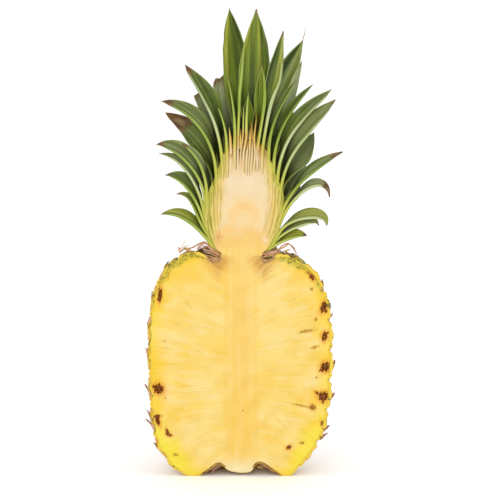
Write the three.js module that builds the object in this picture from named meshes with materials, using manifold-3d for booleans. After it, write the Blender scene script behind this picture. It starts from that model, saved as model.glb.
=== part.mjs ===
// Half a pineapple with its crown, cut lengthwise through the core and standing on its base.
// Millimetres, +Z up. The cut face looks along -Y; the rind and the whole leaves are behind it.
// Every shape is worked out about the fruit's own axis, with the cut face at y = 0 and the table
// at z = 0. The last lines move the origin to the middle of the bounding box's underside.
import * as THREE from "three";
import { ConvexGeometry } from "three/addons/geometries/ConvexGeometry.js";
import { mergeVertices } from "three/addons/utils/BufferGeometryUtils.js";
import Module from "manifold-3d";

const wasm = await Module();
wasm.setup();

// ---- driving dimensions -------------------------------------------------------------------

const neckHeight = 153.4; // where the fruit ends and the crown's stem starts
const neckRadius = 14;
const touchGap = 0.3; // clearance between solids that touch in the real fruit
// The crown's axis stands to the right of the fruit's, by foot at the neck and by top above
// leansTo: the crown leans a little as it rises.
const crown = { foot: 0.7, top: 3.4, leansTo: 200 };

// The fruit's outline from the middle of its base to its neck, as [radius, height]. The two
// sides of a real fruit differ, and the round back runs evenly from one into the other.
const rightSide = [
  [0, 2], [6.5, 3], [12, 8.8], [18, 6.4], [23.5, 2.6], [27.5, 0], [31.5, -0.6], [35, 0.6],
  [39.8, 5.6], [46, 14], [53.5, 25], [59.5, 46], [61.3, 68], [61.6, 95], [59, 120],
  [51.5, 138], [39, 149.5], [28, 152], [20, 149.3], [16, 148], [neckRadius, neckHeight],
];
const leftSide = [
  [0, 2], [8, 3.6], [15.5, 8.2], [20, 5.4], [24.5, 2.2], [28.5, -0.1], [33, -0.6], [38, 0.5],
  [46, 5.8], [53, 14.5], [58.5, 25.5], [61.5, 45], [62.6, 68], [63, 95], [60.5, 120],
  [54, 138.5], [42.5, 150.5], [30, 153.5], [21, 149.5], [16, 147.5], [neckRadius, neckHeight],
];
const profileSteps = 600;
const normalStep = 0.004; // share of an outline on either side of a point, for its normal
const mergeWithin = 1e-4; // vertices this close are one
const fruitGrid = { rows: 50, columns: 46 };

// The eyes stand in 21 upright columns, one of them on the right edge of the cut face. Each
// eye follows the one below it at 8/21 of a turn, clockwise from above.
const eyes = {
  area: 383, // mm2 of rind for each eye
  turn: (-2 * Math.PI * 8) / 21,
  first: 25, // arc length from the base's middle to the first eye
  rise: 1.1, // how far an eye stands proud
  groove: 1.5, // how deep the seam between two eyes is
  grooveWidth: 6,
  innermost: 19, // no eye this close to the stem scar or to the neck, as a radius
  past: 0.4, // eyes this far past the cut face still shape it, in radians
  neckFade: [16, 25], // radii between which the relief comes in beside the neck
  tableFade: [0, 10], // heights between which it comes in above the table
};

// The dry pointed scale on each eye of the flank. It grows out of the rind and points up.
const scale = {
  width: 6,
  below: 3,
  above: 5,
  lift: 2,
  thickness: 1.2,
  root: 2.5,
  innermost: 46, // none nearer the axis than this
  past: 0.01, // none further past the cut face than this, in radians
};

// The crown's stem with the packed leaf bases round it.
const heartSide = [
  [neckRadius, neckHeight + touchGap], [19.5, 159], [24, 169], [26.5, 181], [25.6, 194],
  [20.6, 206], [17.2, 215.5], [13.2, 224], [7, 229], [0, 231],
];

const heartGrid = { rows: 12, columns: 14 };

const leafGrid = { along: 8, across: 3 };
const leafThickness = { base: 2, tip: 0.5 };
// Shares of a leaf's length, and how far its form has gone at each.
const blade = {
  channel: 0.55, // how far the blade's edge turns up from its middle, in radians
  channelFrom: [0.25, 0.8], // the blade wraps the heart before, and is a channel after
  rollFrom: [0.05, 0.6],
  narrowBase: 0.5, // share of the full width at the heart
  wideFrom: 0.4,
  pointFrom: 0.5,
  pointPower: 2,
  pointWidth: 0.03,
  cutWidth: 0.2, // share of the width at a tip that is missing
  edgeThinning: 0.5,
  bow: 0.36, // share of the distance to the tip that the bow's handles reach
  smallestWrap: 6, // the blade wraps no tighter radius than this
  halvings: 24, // steps in the search for the place where the blade meets the cut face
};

// Each leaf, with sizes about the crown's own axis:
//   turn: degrees round the axis, 0 to the right, 90 to the back, 180 to the left
//   base: how high it leaves the heart; tip: how far out and how high it ends
//   lean: degrees from upright, outwards, at the base and at the tip
//   roll: degrees that the blade's upper side turns to the cut face
//   lost: the share of its length that is missing, on a cut tip
//   bow: how far the handles of its bow reach, where that isn't the usual
const leaves = {
  // left of the core, from the lowest to the innermost
  left_01: { turn: 149, base: 157, tip: [47, 177], lean: [50, 96], width: 12, roll: 8 },
  left_02: { turn: 178, base: 161, tip: [56.8, 179.7], lean: [42, 104], width: 15, roll: 34 },
  left_03: { turn: 176, base: 168, tip: [47.2, 193.6], lean: [38, 102], width: 9, roll: 24 },
  left_04: { turn: 177, base: 176, tip: [54.9, 206.3], lean: [24, 94], width: 18, roll: 38 },
  left_05: { turn: 178, base: 184, tip: [58.9, 221], lean: [18, 86], width: 12, roll: 36 },
  left_06: { turn: 176, base: 191, tip: [61, 226.8], lean: [10, 98], width: 18, roll: 44 },
  left_07: { turn: 179, base: 196, tip: [43.4, 228], lean: [4, 54], width: 10, roll: 34 },
  left_08: { turn: 148, base: 200, tip: [65.8, 248.7], lean: [0, 66], width: 17, roll: 42 },
  left_09: { turn: 178, base: 211, tip: [57, 256.2], lean: [6, 78], width: 20, roll: 42 },
  left_10: { turn: 143, base: 210, tip: [54, 283], lean: [5, 34], width: 18, roll: 14, lost: 0.3 },
  left_11: { turn: 178, base: 221, tip: [41, 280.8], lean: [7, 31], width: 21, roll: 52 },
  left_12: { turn: 179, base: 226, tip: [18.9, 251.8], lean: [2, 24], width: 8, roll: 10 },
  left_13: { turn: 134, base: 220, tip: [31, 301], lean: [5, 10], width: 16, roll: 12, lost: 0.35 },
  left_14: { turn: 179, base: 229.5, tip: [12, 271.5], lean: [-2, 11], width: 8 },
  // right of the core
  right_01: { turn: 4, base: 157, tip: [43.9, 165.5], lean: [61, 104], width: 14, roll: 34 },
  right_02: { turn: 6, base: 161.5, tip: [51.7, 171.8], lean: [43, 150], width: 15, roll: 34 },
  right_03: { turn: 3, base: 168, tip: [57.1, 172.1], lean: [30, 172], width: 16, roll: 34 },
  right_04: { turn: 32, base: 176, tip: [59, 207], lean: [28, 56], width: 12, roll: 14, lost: 0.4 },
  right_05: { turn: 2, base: 182, tip: [57.3, 191.5], lean: [27, 168], width: 13, roll: 32, bow: 0.55 },
  right_06: { turn: 2, base: 188, tip: [65.4, 222.5], lean: [26, 58], width: 15, roll: 32 },
  right_07: { turn: 32, base: 195, tip: [55.6, 235], lean: [14, 24], width: 23, roll: 24 },
  right_08: { turn: 4, base: 201, tip: [60.6, 257.5], lean: [12, 44], width: 20, roll: 42 },
  right_09: { turn: 2, base: 207, tip: [57.9, 264.2], lean: [6, 50], width: 15.6, roll: 52 },
  right_10: { turn: 1, base: 215, tip: [45, 267.6], lean: [3, 40], width: 14, roll: 32 },
  right_11: { turn: 1, base: 223, tip: [33.7, 270.5], lean: [2, 29], width: 11, roll: 26 },
  right_12: { turn: 25.6, base: 213, tip: [42.4, 284], lean: [18, 20], width: 9, roll: 46 },
  right_13: { turn: 50.6, base: 222, tip: [62.9, 299.4], lean: [16, 38], width: 18.5, roll: 36 },
  right_14: { turn: 5, base: 227, tip: [25.1, 303.4], lean: [9, 10], width: 11.4, roll: 76 },
  // the tall ones in the middle, and the young ones in front of them
  middle_01: { turn: 107, base: 227, tip: [40, 321], lean: [8, 24], width: 19, roll: 10 },
  middle_02: { turn: 66, base: 228, tip: [18.2, 319], lean: [6, 4], width: 22, roll: 22 },
  middle_03: { turn: 11, base: 229, tip: [10.9, 280.2], lean: [10, -3], width: 12.4, roll: 42 },
  middle_04: { turn: 76, base: 229.6, tip: [7, 261], lean: [2, -2], width: 8 },
};

// The crown's back, in rows from the lowest up: one leaf for each turn, the rest as above.
const backRows = [
  { turns: [60, 92, 122], base: 158, tip: [46, 178], lean: [50, 112], width: 14 },
  { turns: [76, 108], base: 165, tip: [55, 197], lean: [32, 104], width: 16 },
  { turns: [58, 92, 126], base: 173, tip: [58, 222], lean: [20, 84], width: 17 },
  { turns: [74, 108], base: 182, tip: [56, 248], lean: [11, 54], width: 18 },
  { turns: [60, 92], base: 191, tip: [49, 270], lean: [7, 30], width: 17 },
  { turns: [74, 109], base: 200, tip: [38, 287], lean: [5, 20], width: 15 },
  { turns: [92], base: 208, tip: [30, 286], lean: [4, 14], width: 17 },
];

const finishes = {
  rind: { color: 0xd9a92c, roughness: 0.5, metalness: 0 },
  heart: { color: 0xf6dfae, roughness: 0.6, metalness: 0 },
  leaf: { color: 0x566b2a, roughness: 0.45, metalness: 0 },
};

// ---- the fruit ----------------------------------------------------------------------------

// A smooth line through [radius, height] points, evenly spaced along its length.
function smoothProfile(points) {
  const curve = new THREE.CatmullRomCurve3(
    points.map(([radius, height]) => new THREE.Vector3(radius, 0, height)),
    false,
    "centripetal",
  );
  return (share) => {
    const p = curve.getPoint(share);
    return [Math.max(p.x, 0), p.z];
  };
}

// Radius and height at a share of the outline, from 0 at the base's middle to 1 at the neck.
function fruitOutline() {
  const right = smoothProfile(rightSide);
  const left = smoothProfile(leftSide);
  return (share, angle) => {
    const [r0, z0] = right(share);
    const [r1, z1] = left(share);
    const blend = (1 - Math.cos(angle)) / 2;
    return [THREE.MathUtils.lerp(r0, r1, blend), THREE.MathUtils.lerp(z0, z1, blend)];
  };
}

// Arc length along the back's outline, and the rind's area below each point of it.
function measureOutline(outline) {
  const table = [{ share: 0, length: 0, area: 0, radius: 0 }];
  let [lastRadius, lastHeight] = outline(0, Math.PI / 2);
  for (let i = 1; i <= profileSteps; i++) {
    const share = i / profileSteps;
    const [radius, height] = outline(share, Math.PI / 2);
    const step = Math.hypot(radius - lastRadius, height - lastHeight);
    const last = table[i - 1];
    table.push({
      share,
      radius,
      length: last.length + step,
      area: last.area + Math.PI * (radius + lastRadius) * step,
    });
    [lastRadius, lastHeight] = [radius, height];
  }
  return table;
}

function lookUp(table, key, value, wanted) {
  const i = table.findIndex((row) => row[key] >= value);
  if (i < 1) return table[i < 0 ? table.length - 1 : 0][wanted];
  const [a, b] = [table[i - 1], table[i]];
  return THREE.MathUtils.mapLinear(value, a[key], b[key], a[wanted], b[wanted]);
}

// Where each eye of the half fruit has its middle: the next one is a fixed turn further round,
// and as much higher as gives every eye the same area.
function placeEyes(table) {
  const placed = [];
  const firstArea = lookUp(table, "length", eyes.first, "area");
  for (let n = 0; firstArea + n * eyes.area < table.at(-1).area; n++) {
    const area = firstArea + n * eyes.area;
    const angle = THREE.MathUtils.euclideanModulo(n * eyes.turn + 1, 2 * Math.PI) - 1;
    const radius = lookUp(table, "area", area, "radius");
    if (angle < -eyes.past || angle > Math.PI + eyes.past) continue;
    if (radius < eyes.innermost) continue;
    placed.push({
      angle,
      radius,
      length: lookUp(table, "area", area, "length"),
      share: lookUp(table, "area", area, "share"),
    });
  }
  return placed;
}

// How far the rind stands out: domed over an eye, and sunk in the seam between two. It is
// smooth round the neck and where the fruit stands on the table.
function eyeRelief(placed, angle, radius, height, length) {
  let [nearest, next] = [Infinity, Infinity];
  for (const eye of placed) {
    const distance = Math.hypot(radius * (angle - eye.angle), length - eye.length);
    if (distance < nearest) [nearest, next] = [distance, nearest];
    else if (distance < next) next = distance;
  }
  const ridge = THREE.MathUtils.smoothstep(next - nearest, 0, eyes.grooveWidth);
  const nearNeck = THREE.MathUtils.smoothstep(radius, ...eyes.neckFade);
  const nearTable = THREE.MathUtils.smoothstep(height, ...eyes.tableFade);
  return nearNeck * nearTable * (ridge * (eyes.rise + eyes.groove) - eyes.groove);
}

// A closed half body: rows along an outline from pole to pole, columns round the back from
// the right edge to the left, and one flat face across the cut.
function halfBody(rows, columns, surface) {
  const points = [];
  const index = (i, j) => (i === 0 ? 0 : i === rows ? 1 : 2 + (i - 1) * (columns + 1) + j);
  points.push(surface(0, 0), surface(1, 0));
  for (let i = 1; i < rows; i++)
    for (let j = 0; j <= columns; j++) points.push(surface(i / rows, (Math.PI * j) / columns));
  const faces = [];
  const addFace = (a, b, c) => {
    if (a !== b && b !== c && c !== a) faces.push(a, b, c);
  };
  for (let i = 0; i < rows; i++)
    for (let j = 0; j < columns; j++) {
      const [a, b, c, d] = [index(i, j), index(i, j + 1), index(i + 1, j + 1), index(i + 1, j)];
      addFace(a, b, c);
      addFace(a, c, d);
    }
  const rim = [];
  for (let i = 0; i <= rows; i++) rim.push(index(i, 0));
  for (let i = rows - 1; i > 0; i--) rim.push(index(i, columns));
  const flat = rim.map((k) => new THREE.Vector2(points[k].x, points[k].z));
  for (const [a, b, c] of THREE.ShapeUtils.triangulateShape(flat, []))
    addFace(rim[a], rim[b], rim[c]);
  return closedGeometry(points, faces);
}

function closedGeometry(points, faces) {
  const geometry = new THREE.BufferGeometry().setFromPoints(points);
  geometry.setIndex(faces);
  return geometry;
}

// The rind without its relief: a point of it, and the way out of the fruit there.
function rindPoint(outline, share, angle) {
  const [radius, height] = outline(share, angle);
  const [r0, z0] = outline(Math.max(share - normalStep, 0), angle);
  const [r1, z1] = outline(Math.min(share + normalStep, 1), angle);
  const normal = new THREE.Vector2(z1 - z0, r0 - r1).normalize();
  return { radius, height, normal };
}

function fruitBody(outline, table, placed) {
  const surface = (share, angle) => {
    const { radius, height, normal } = rindPoint(outline, share, angle);
    if (share === 0 || share === 1) return new THREE.Vector3(0, 0, height);
    const length = lookUp(table, "share", share, "length");
    const relief = eyeRelief(placed, angle, radius, height, length);
    const r = radius + relief * normal.x;
    const z = Math.max(height + relief * normal.y, 0);
    const y = angle === 0 || angle === Math.PI ? 0 : r * Math.sin(angle);
    return new THREE.Vector3(r * Math.cos(angle), y, z);
  };
  return halfBody(fruitGrid.rows, fruitGrid.columns, surface);
}

// A scale is a wedge: two corners and a ridge low down, a lifted point, and a root in the rind.
function scaleGeometry(outline, { share, angle }) {
  const { radius, height, normal } = rindPoint(outline, share, angle);
  const around = new THREE.Vector3(-Math.sin(angle), Math.cos(angle), 0);
  const outward = new THREE.Vector3(Math.cos(angle) * normal.x, Math.sin(angle) * normal.x, normal.y);
  const upward = new THREE.Vector3().crossVectors(outward, around);
  const foot = new THREE.Vector3(radius * Math.cos(angle), radius * Math.sin(angle), height);
  foot.addScaledVector(outward, eyes.rise);
  const corner = (side, up, out) => {
    const p = foot.clone().addScaledVector(around, side).addScaledVector(upward, up);
    p.addScaledVector(outward, out);
    p.y = Math.max(p.y, 0);
    return p;
  };
  return new ConvexGeometry([
    corner(-scale.width / 2, -scale.below, 0),
    corner(scale.width / 2, -scale.below, 0),
    corner(0, -scale.below / 2, scale.thickness),
    corner(0, scale.above, scale.lift),
    corner(0, 0, -scale.root),
  ]);
}

function solidOf(geometry) {
  const bare = new THREE.BufferGeometry();
  bare.setAttribute("position", geometry.getAttribute("position"));
  bare.setIndex(geometry.getIndex());
  const merged = mergeVertices(bare, mergeWithin);
  return new wasm.Manifold(
    new wasm.Mesh({
      numProp: 3,
      vertProperties: merged.getAttribute("position").array,
      triVerts: new Uint32Array(merged.getIndex().array),
    }),
  );
}

function geometryOf(solid) {
  const { vertProperties, triVerts } = solid.getMesh();
  const geometry = new THREE.BufferGeometry();
  geometry.setAttribute("position", new THREE.BufferAttribute(vertProperties, 3));
  geometry.setIndex(new THREE.BufferAttribute(triVerts, 1));
  return geometry;
}

function fruitGeometry() {
  const outline = fruitOutline();
  const table = measureOutline(outline);
  const placed = placeEyes(table);
  let fruit = solidOf(fruitBody(outline, table, placed));
  for (const eye of placed) {
    const behind = eye.angle > -scale.past && eye.angle < Math.PI;
    if (eye.radius <= scale.innermost || !behind) continue;
    fruit = fruit.add(solidOf(scaleGeometry(outline, eye)));
  }
  return geometryOf(fruit);
}

// ---- the crown ----------------------------------------------------------------------------

// How far right of the fruit's axis the crown's is at a height.
function axisAt(height) {
  const risen = THREE.MathUtils.smoothstep(height, neckHeight, crown.leansTo);
  return THREE.MathUtils.lerp(crown.foot, crown.top, risen);
}

function heartGeometry() {
  const outline = smoothProfile([[0, neckHeight + touchGap], ...heartSide]);
  const surface = (share, angle) => {
    const [radius, height] = outline(share);
    const y = angle === Math.PI ? 0 : radius * Math.sin(angle);
    return new THREE.Vector3(axisAt(height) + radius * Math.cos(angle), y, height);
  };
  return halfBody(heartGrid.rows, heartGrid.columns, surface);
}

// The heart's radius at a height.
function heartRadius(height) {
  const above = heartSide.findIndex(([, z]) => z >= height);
  const [[r0, z0], [r1, z1]] = [heartSide[above - 1], heartSide[above]];
  return THREE.MathUtils.mapLinear(height, z0, z1, r0, r1);
}

// Half the blade's width along its length: a narrow base, an even blade, a long point.
function halfWidth(width, share, lost) {
  const { narrowBase, wideFrom, pointFrom, pointPower, pointWidth, cutWidth } = blade;
  const grown = THREE.MathUtils.smoothstep(share, 0, wideFrom);
  const base = THREE.MathUtils.lerp(narrowBase, 1, grown);
  const toTip = THREE.MathUtils.clamp((share - pointFrom) / (1 - pointFrom), 0, 1);
  const point = 1 - Math.pow(toTip, pointPower);
  return (width / 2) * base * Math.max(point, lost > 0 ? cutWidth : pointWidth);
}

// The blade's middle follows a bow from the heart to the tip. Each step along it has an arc of
// points across the blade, from the cut face or the front edge to the rear edge.
function leafGeometry({ turn, base, tip, lean, width, roll = 0, lost = 0, bow = blade.bow }) {
  const azimuth = THREE.MathUtils.degToRad(turn);
  const out = new THREE.Vector3(Math.cos(azimuth), Math.sin(azimuth), 0);
  const up = new THREE.Vector3(0, 0, 1);
  const backwards = turn > 90 ? 1 : -1; // so that the blade's second half is the rear one
  const side = new THREE.Vector3(Math.sin(azimuth), -Math.cos(azimuth), 0);
  side.multiplyScalar(backwards);
  const start = new THREE.Vector2(
    heartRadius(base) + leafThickness.base / 2 + 2 * touchGap,
    base,
  );
  const end = new THREE.Vector2(...tip);
  const handle = bow * start.distanceTo(end);
  const toward = (degrees) => {
    const angle = THREE.MathUtils.degToRad(degrees);
    return new THREE.Vector2(Math.sin(angle), Math.cos(angle));
  };
  const spine = new THREE.CubicBezierCurve(
    start,
    start.clone().addScaledVector(toward(lean[0]), handle),
    end.clone().addScaledVector(toward(lean[1]), -handle),
    end,
  );
  const { along, across } = leafGrid;
  const shown = 1 - lost;
  const upper = [];
  const lower = [];
  for (let i = 0; i <= along; i++) {
    const share = (shown * i) / along;
    const at = spine.getPoint(share);
    const tangent = spine.getTangent(share);
    const centre = out.clone().multiplyScalar(at.x).addScaledVector(up, at.y);
    const inward = out.clone().multiplyScalar(-tangent.y).addScaledVector(up, tangent.x);
    const rolled = THREE.MathUtils.smoothstep(share, ...blade.rollFrom);
    const turned = THREE.MathUtils.degToRad(roll) * rolled;
    const sideways = side.clone().multiplyScalar(Math.cos(turned));
    sideways.addScaledVector(inward, Math.sin(turned));
    const face = inward.clone().multiplyScalar(Math.cos(turned));
    face.addScaledVector(side, -Math.sin(turned));
    const half = halfWidth(width, share, lost);
    const wrap = half / Math.max(at.x, blade.smallestWrap);
    const channelled = THREE.MathUtils.smoothstep(share, ...blade.channelFrom);
    const bend = THREE.MathUtils.lerp(wrap, blade.channel, channelled);
    const thickness = THREE.MathUtils.lerp(leafThickness.base, leafThickness.tip, share);
    const place = (t, offset) =>
      centre
        .clone()
        .addScaledVector(sideways, (half * Math.sin(bend * t)) / bend)
        .addScaledVector(face, (half * (1 - Math.cos(bend * t))) / bend)
        .addScaledVector(face, offset * Math.cos(bend * t))
        .addScaledVector(sideways, -offset * Math.sin(bend * t));
    // The blade ends at the cut face: look for the share of its width where y reaches 0.
    let [inside, outside] = [1, -1];
    if (place(-1, 0).y < 0)
      for (let k = 0; k < blade.halvings; k++) {
        const middle = (inside + outside) / 2;
        if (place(middle, 0).y < 0) outside = middle;
        else inside = middle;
      }
    else inside = -1;
    for (let j = 0; j <= across; j++) {
      const t = THREE.MathUtils.lerp(inside, 1, j / across);
      const offset = (thickness / 2) * (1 - blade.edgeThinning * t * t);
      for (const [list, signed] of [[upper, offset], [lower, -offset]]) {
        const p = place(t, signed);
        p.y = Math.max(p.y, 0);
        p.x += axisAt(p.z);
        list.push(p);
      }
    }
  }
  return slabGeometry(upper, lower, along, across, backwards);
}

// A closed thin solid between two grids of points.
function slabGeometry(upper, lower, along, across, backwards) {
  const points = [...upper, ...lower];
  const row = across + 1;
  const top = (i, j) => i * row + j;
  const bottom = (i, j) => upper.length + top(i, j);
  const faces = [];
  const quad = (a, b, c, d) => {
    if (backwards > 0) faces.push(a, b, c, a, c, d);
    else faces.push(a, c, b, a, d, c);
  };
  for (let i = 0; i < along; i++)
    for (let j = 0; j < across; j++) {
      quad(top(i, j), top(i, j + 1), top(i + 1, j + 1), top(i + 1, j));
      quad(bottom(i, j), bottom(i + 1, j), bottom(i + 1, j + 1), bottom(i, j + 1));
    }
  for (let i = 0; i < along; i++) {
    quad(top(i, 0), top(i + 1, 0), bottom(i + 1, 0), bottom(i, 0));
    quad(top(i, across), bottom(i, across), bottom(i + 1, across), top(i + 1, across));
  }
  for (let j = 0; j < across; j++) {
    quad(top(0, j), bottom(0, j), bottom(0, j + 1), top(0, j + 1));
    quad(top(along, j), top(along, j + 1), bottom(along, j + 1), bottom(along, j));
  }
  return closedGeometry(points, faces);
}

// ---- the whole ----------------------------------------------------------------------------

const pineapple = new THREE.Group();

function addPiece(name, geometry, finish) {
  const mesh = new THREE.Mesh(geometry, new THREE.MeshStandardMaterial(finish));
  mesh.name = name;
  pineapple.add(mesh);
}

addPiece("fruit_half", fruitGeometry(), finishes.rind);
addPiece("crown_heart", heartGeometry(), finishes.heart);
for (const [name, spec] of Object.entries(leaves))
  addPiece(`leaf_${name}`, leafGeometry(spec), finishes.leaf);
let backCount = 0;
for (const row of backRows)
  for (const turn of row.turns) {
    backCount += 1;
    const name = `leaf_back_${String(backCount).padStart(2, "0")}`;
    addPiece(name, leafGeometry({ ...row, turn }), finishes.leaf);
  }

const box = new THREE.Box3().setFromObject(pineapple);
const middle = box.getCenter(new THREE.Vector3());
pineapple.position.set(-middle.x, -middle.y, -box.min.z);

export default pineapple;
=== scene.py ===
import math
import bpy
import numpy as np
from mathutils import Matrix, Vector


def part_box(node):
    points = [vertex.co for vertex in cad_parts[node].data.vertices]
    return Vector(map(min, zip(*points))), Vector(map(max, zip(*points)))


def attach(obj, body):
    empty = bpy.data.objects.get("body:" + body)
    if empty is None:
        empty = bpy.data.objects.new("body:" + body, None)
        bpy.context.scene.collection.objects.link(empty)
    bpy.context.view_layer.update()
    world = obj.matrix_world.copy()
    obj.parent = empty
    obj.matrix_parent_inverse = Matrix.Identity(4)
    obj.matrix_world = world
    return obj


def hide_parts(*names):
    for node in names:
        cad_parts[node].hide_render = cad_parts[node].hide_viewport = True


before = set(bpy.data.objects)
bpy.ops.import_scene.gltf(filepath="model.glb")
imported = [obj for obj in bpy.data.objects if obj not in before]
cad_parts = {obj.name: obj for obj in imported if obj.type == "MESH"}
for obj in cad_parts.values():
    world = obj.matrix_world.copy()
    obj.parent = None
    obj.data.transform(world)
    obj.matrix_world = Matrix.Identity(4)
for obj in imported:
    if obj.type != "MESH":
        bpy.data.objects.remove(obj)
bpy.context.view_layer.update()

# Half a pineapple with its crown, cut lengthwise and standing on a pale table.
# Shapes are worked out in millimetres about the fruit's axis, with the cut face at y = 0 and the
# table at z = 0, and are moved to the frame's own place when they become meshes.
heartLow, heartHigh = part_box("crown_heart")
neckHeight = 153.4
perMm, perMetre = 0.001, 1000.0
lineSteps = 300  # points along the crown's outlines


# numbers and shapes

def smoothStep(value, low, high):
    # 0 below low, 1 above high, and between them three times the share's square less twice its cube
    share = np.clip((value - low) / (high - low), 0, 1)
    return share * share * (3 - 2 * share)


def bell(value, width):  # e to the power of minus the square of value over width
    return np.exp(-((value / width) ** 2))


waves = {"count": 8, "stretch": (0.6, 1.7), "power": 1.6}


def ripple(place, wavelength, seed):
    # soft noise from about -1.5 to 1.5 at two coordinates: the sum of sines of about one
    # wavelength in random directions
    points, count = np.stack(np.broadcast_arrays(*place), -1), waves["count"]
    draw = np.random.default_rng(seed)
    ways = draw.normal(size=(count, points.shape[-1]))
    ways *= draw.uniform(*waves["stretch"], (count, 1)) / np.linalg.norm(ways, axis=1, keepdims=True)
    phases = points @ (2 * np.pi / wavelength * ways.T) + draw.uniform(0, 2 * np.pi, count)
    return np.sin(phases).sum(-1) * math.sqrt(waves["power"] / count)


def smoothProfile(points, count):
    # a centripetal Catmull-Rom curve through the points, count steps along it
    p = np.array(points, float)
    p = np.vstack([2 * p[0] - p[1], p, 2 * p[-1] - p[-2]])
    at = np.linspace(0, len(p) - 3, count + 1)
    i = np.minimum(at.astype(int), len(p) - 4)
    u = (at - i)[:, None]
    p0, p1, p2, p3 = p[i], p[i + 1], p[i + 2], p[i + 3]
    spans = ((p0, p1), (p1, p2), (p2, p3))
    d0, d1, d2 = (np.sqrt(np.linalg.norm(b - a, axis=1))[:, None] for a, b in spans)
    m1 = ((p1 - p0) / d0 - (p2 - p0) / (d0 + d1) + (p2 - p1) / d1) * d1
    m2 = ((p2 - p1) / d1 - (p3 - p1) / (d1 + d2) + (p3 - p2) / d2) * d1
    cubic = 2 * p1 - 2 * p2 + m1 + m2
    square = -3 * p1 + 3 * p2 - 2 * m1 - m2
    return p1 + m1 * u + square * u**2 + cubic * u**3


def bezier(p0, p1, p2, p3, share):  # a cubic Bezier curve at each share of it
    u = share[:, None]
    return (1 - u) ** 3 * p0 + 3 * (1 - u) ** 2 * u * p1 + 3 * (1 - u) * u**2 * p2 + u**3 * p3


def alongLength(points):  # the length of a line up to each of its points
    return np.r_[0, np.cumsum(np.linalg.norm(np.diff(points, axis=0), axis=1))]


def numbered(rows, columns, first=0):  # a grid of vertex numbers that counts up from first
    return first + np.arange(rows * columns).reshape(rows, columns)


def gridQuads(index):  # the quads of a grid of vertex numbers
    a, b, c, d = index[:-1, :-1], index[1:, :-1], index[1:, 1:], index[:-1, 1:]
    return np.stack([a, b, c, d], -1).reshape(-1, 4)


def thereAndBack(top, bottom=None):  # rows over an upper side and back under it, as one loop
    return np.concatenate([top, (top if bottom is None else bottom)[:, ::-1]], 1)


def tubePart(loops, fields):
    # a closed solid from loops of points: rows x around x 3, with a flat end at each side; a
    # field has a number for each point, for each row or for all of them
    rows, around = loops.shape[:2]
    index = numbered(rows, around)
    index = np.hstack([index, index[:, :1]])
    faces = [gridQuads(index), index[:1, :-1], index[-1:, -2::-1]]
    spread = {name: np.broadcast_to(value, (rows, around)).reshape(-1) for name, value in fields.items()}
    return {"points": loops.reshape(-1, 3), "faces": faces, "fields": spread}


def joinParts(parts):  # several parts as one, with the same fields
    starts = np.cumsum([0] + [len(part["points"]) for part in parts])
    faces = [f + start for part, start in zip(parts, starts) for f in part["faces"]]
    names = parts[0]["fields"]
    fields = {name: np.concatenate([part["fields"][name] for part in parts]) for name in names}
    return {"points": np.vstack([part["points"] for part in parts]), "faces": faces, "fields": fields}


def signedVolume(points, faces):
    # six times the volume, from each triangle's corners: the first times the cross product of the
    # other two, summed; it is positive when the faces look outwards
    total = 0
    for block in faces:
        first = points[block[:, 0]]
        for k in range(1, block.shape[1] - 1):
            cross = np.cross(points[block[:, k]], points[block[:, k + 1]])
            total += np.einsum("ij,ij->i", first, cross).sum()
    return total


def makePiece(name, part, material, nodes=()):
    # turns a part into an object: faces outward, fields u and v as a map, the rest as attributes
    points, faces, fields = part["points"], part["faces"], dict(part["fields"])
    if signedVolume(points, faces) < 0:
        faces = [block[:, ::-1] for block in faces]
    corners = np.concatenate([block.reshape(-1) for block in faces]).astype(np.int32)
    totals = np.concatenate([np.full(len(block), block.shape[1]) for block in faces])
    mesh = bpy.data.meshes.new(name)
    mesh.vertices.add(len(points))
    mesh.vertices.foreach_set("co", (points * perMm + origin).astype(np.float32).reshape(-1))
    mesh.loops.add(len(corners))
    mesh.loops.foreach_set("vertex_index", corners)
    mesh.polygons.add(len(totals))
    mesh.polygons.foreach_set("loop_start", (np.cumsum(totals) - totals).astype(np.int32))
    mesh.polygons.foreach_set("loop_total", totals.astype(np.int32))
    mesh.polygons.foreach_set("use_smooth", totals <= 4)  # the flat ends keep a sharp edge
    flat = np.stack([fields.pop("u")[corners], fields.pop("v")[corners]], -1)
    mesh.uv_layers.new(name="Flow").data.foreach_set("uv", flat.astype(np.float32).reshape(-1))
    for field, value in fields.items():
        layer = mesh.attributes.new(field, "FLOAT", "POINT")
        layer.data.foreach_set("value", value.astype(np.float32))
    mesh.update(calc_edges=True)
    mesh.validate()
    mesh.materials.append(material)
    piece = bpy.data.objects.new(name, mesh)
    bpy.context.scene.collection.objects.link(piece)
    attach(piece, "root")
    if nodes:
        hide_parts(*nodes)
    return piece


# shader wiring

class Wire:  # an output socket, so that shader maths reads as an expression
    def __init__(self, finish, socket):
        self.finish, self.socket = finish, socket


# adding, subtracting, multiplying and dividing, with a wire on either side
for sign, operation in (("add", "ADD"), ("sub", "SUBTRACT"), ("mul", "MULTIPLY"), ("truediv", "DIVIDE")):
    setattr(Wire, "__%s__" % sign, lambda self, other, o=operation: self.finish.maths(o, self, other))
    setattr(Wire, "__r%s__" % sign, lambda self, other, o=operation: self.finish.maths(o, other, self))


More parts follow.
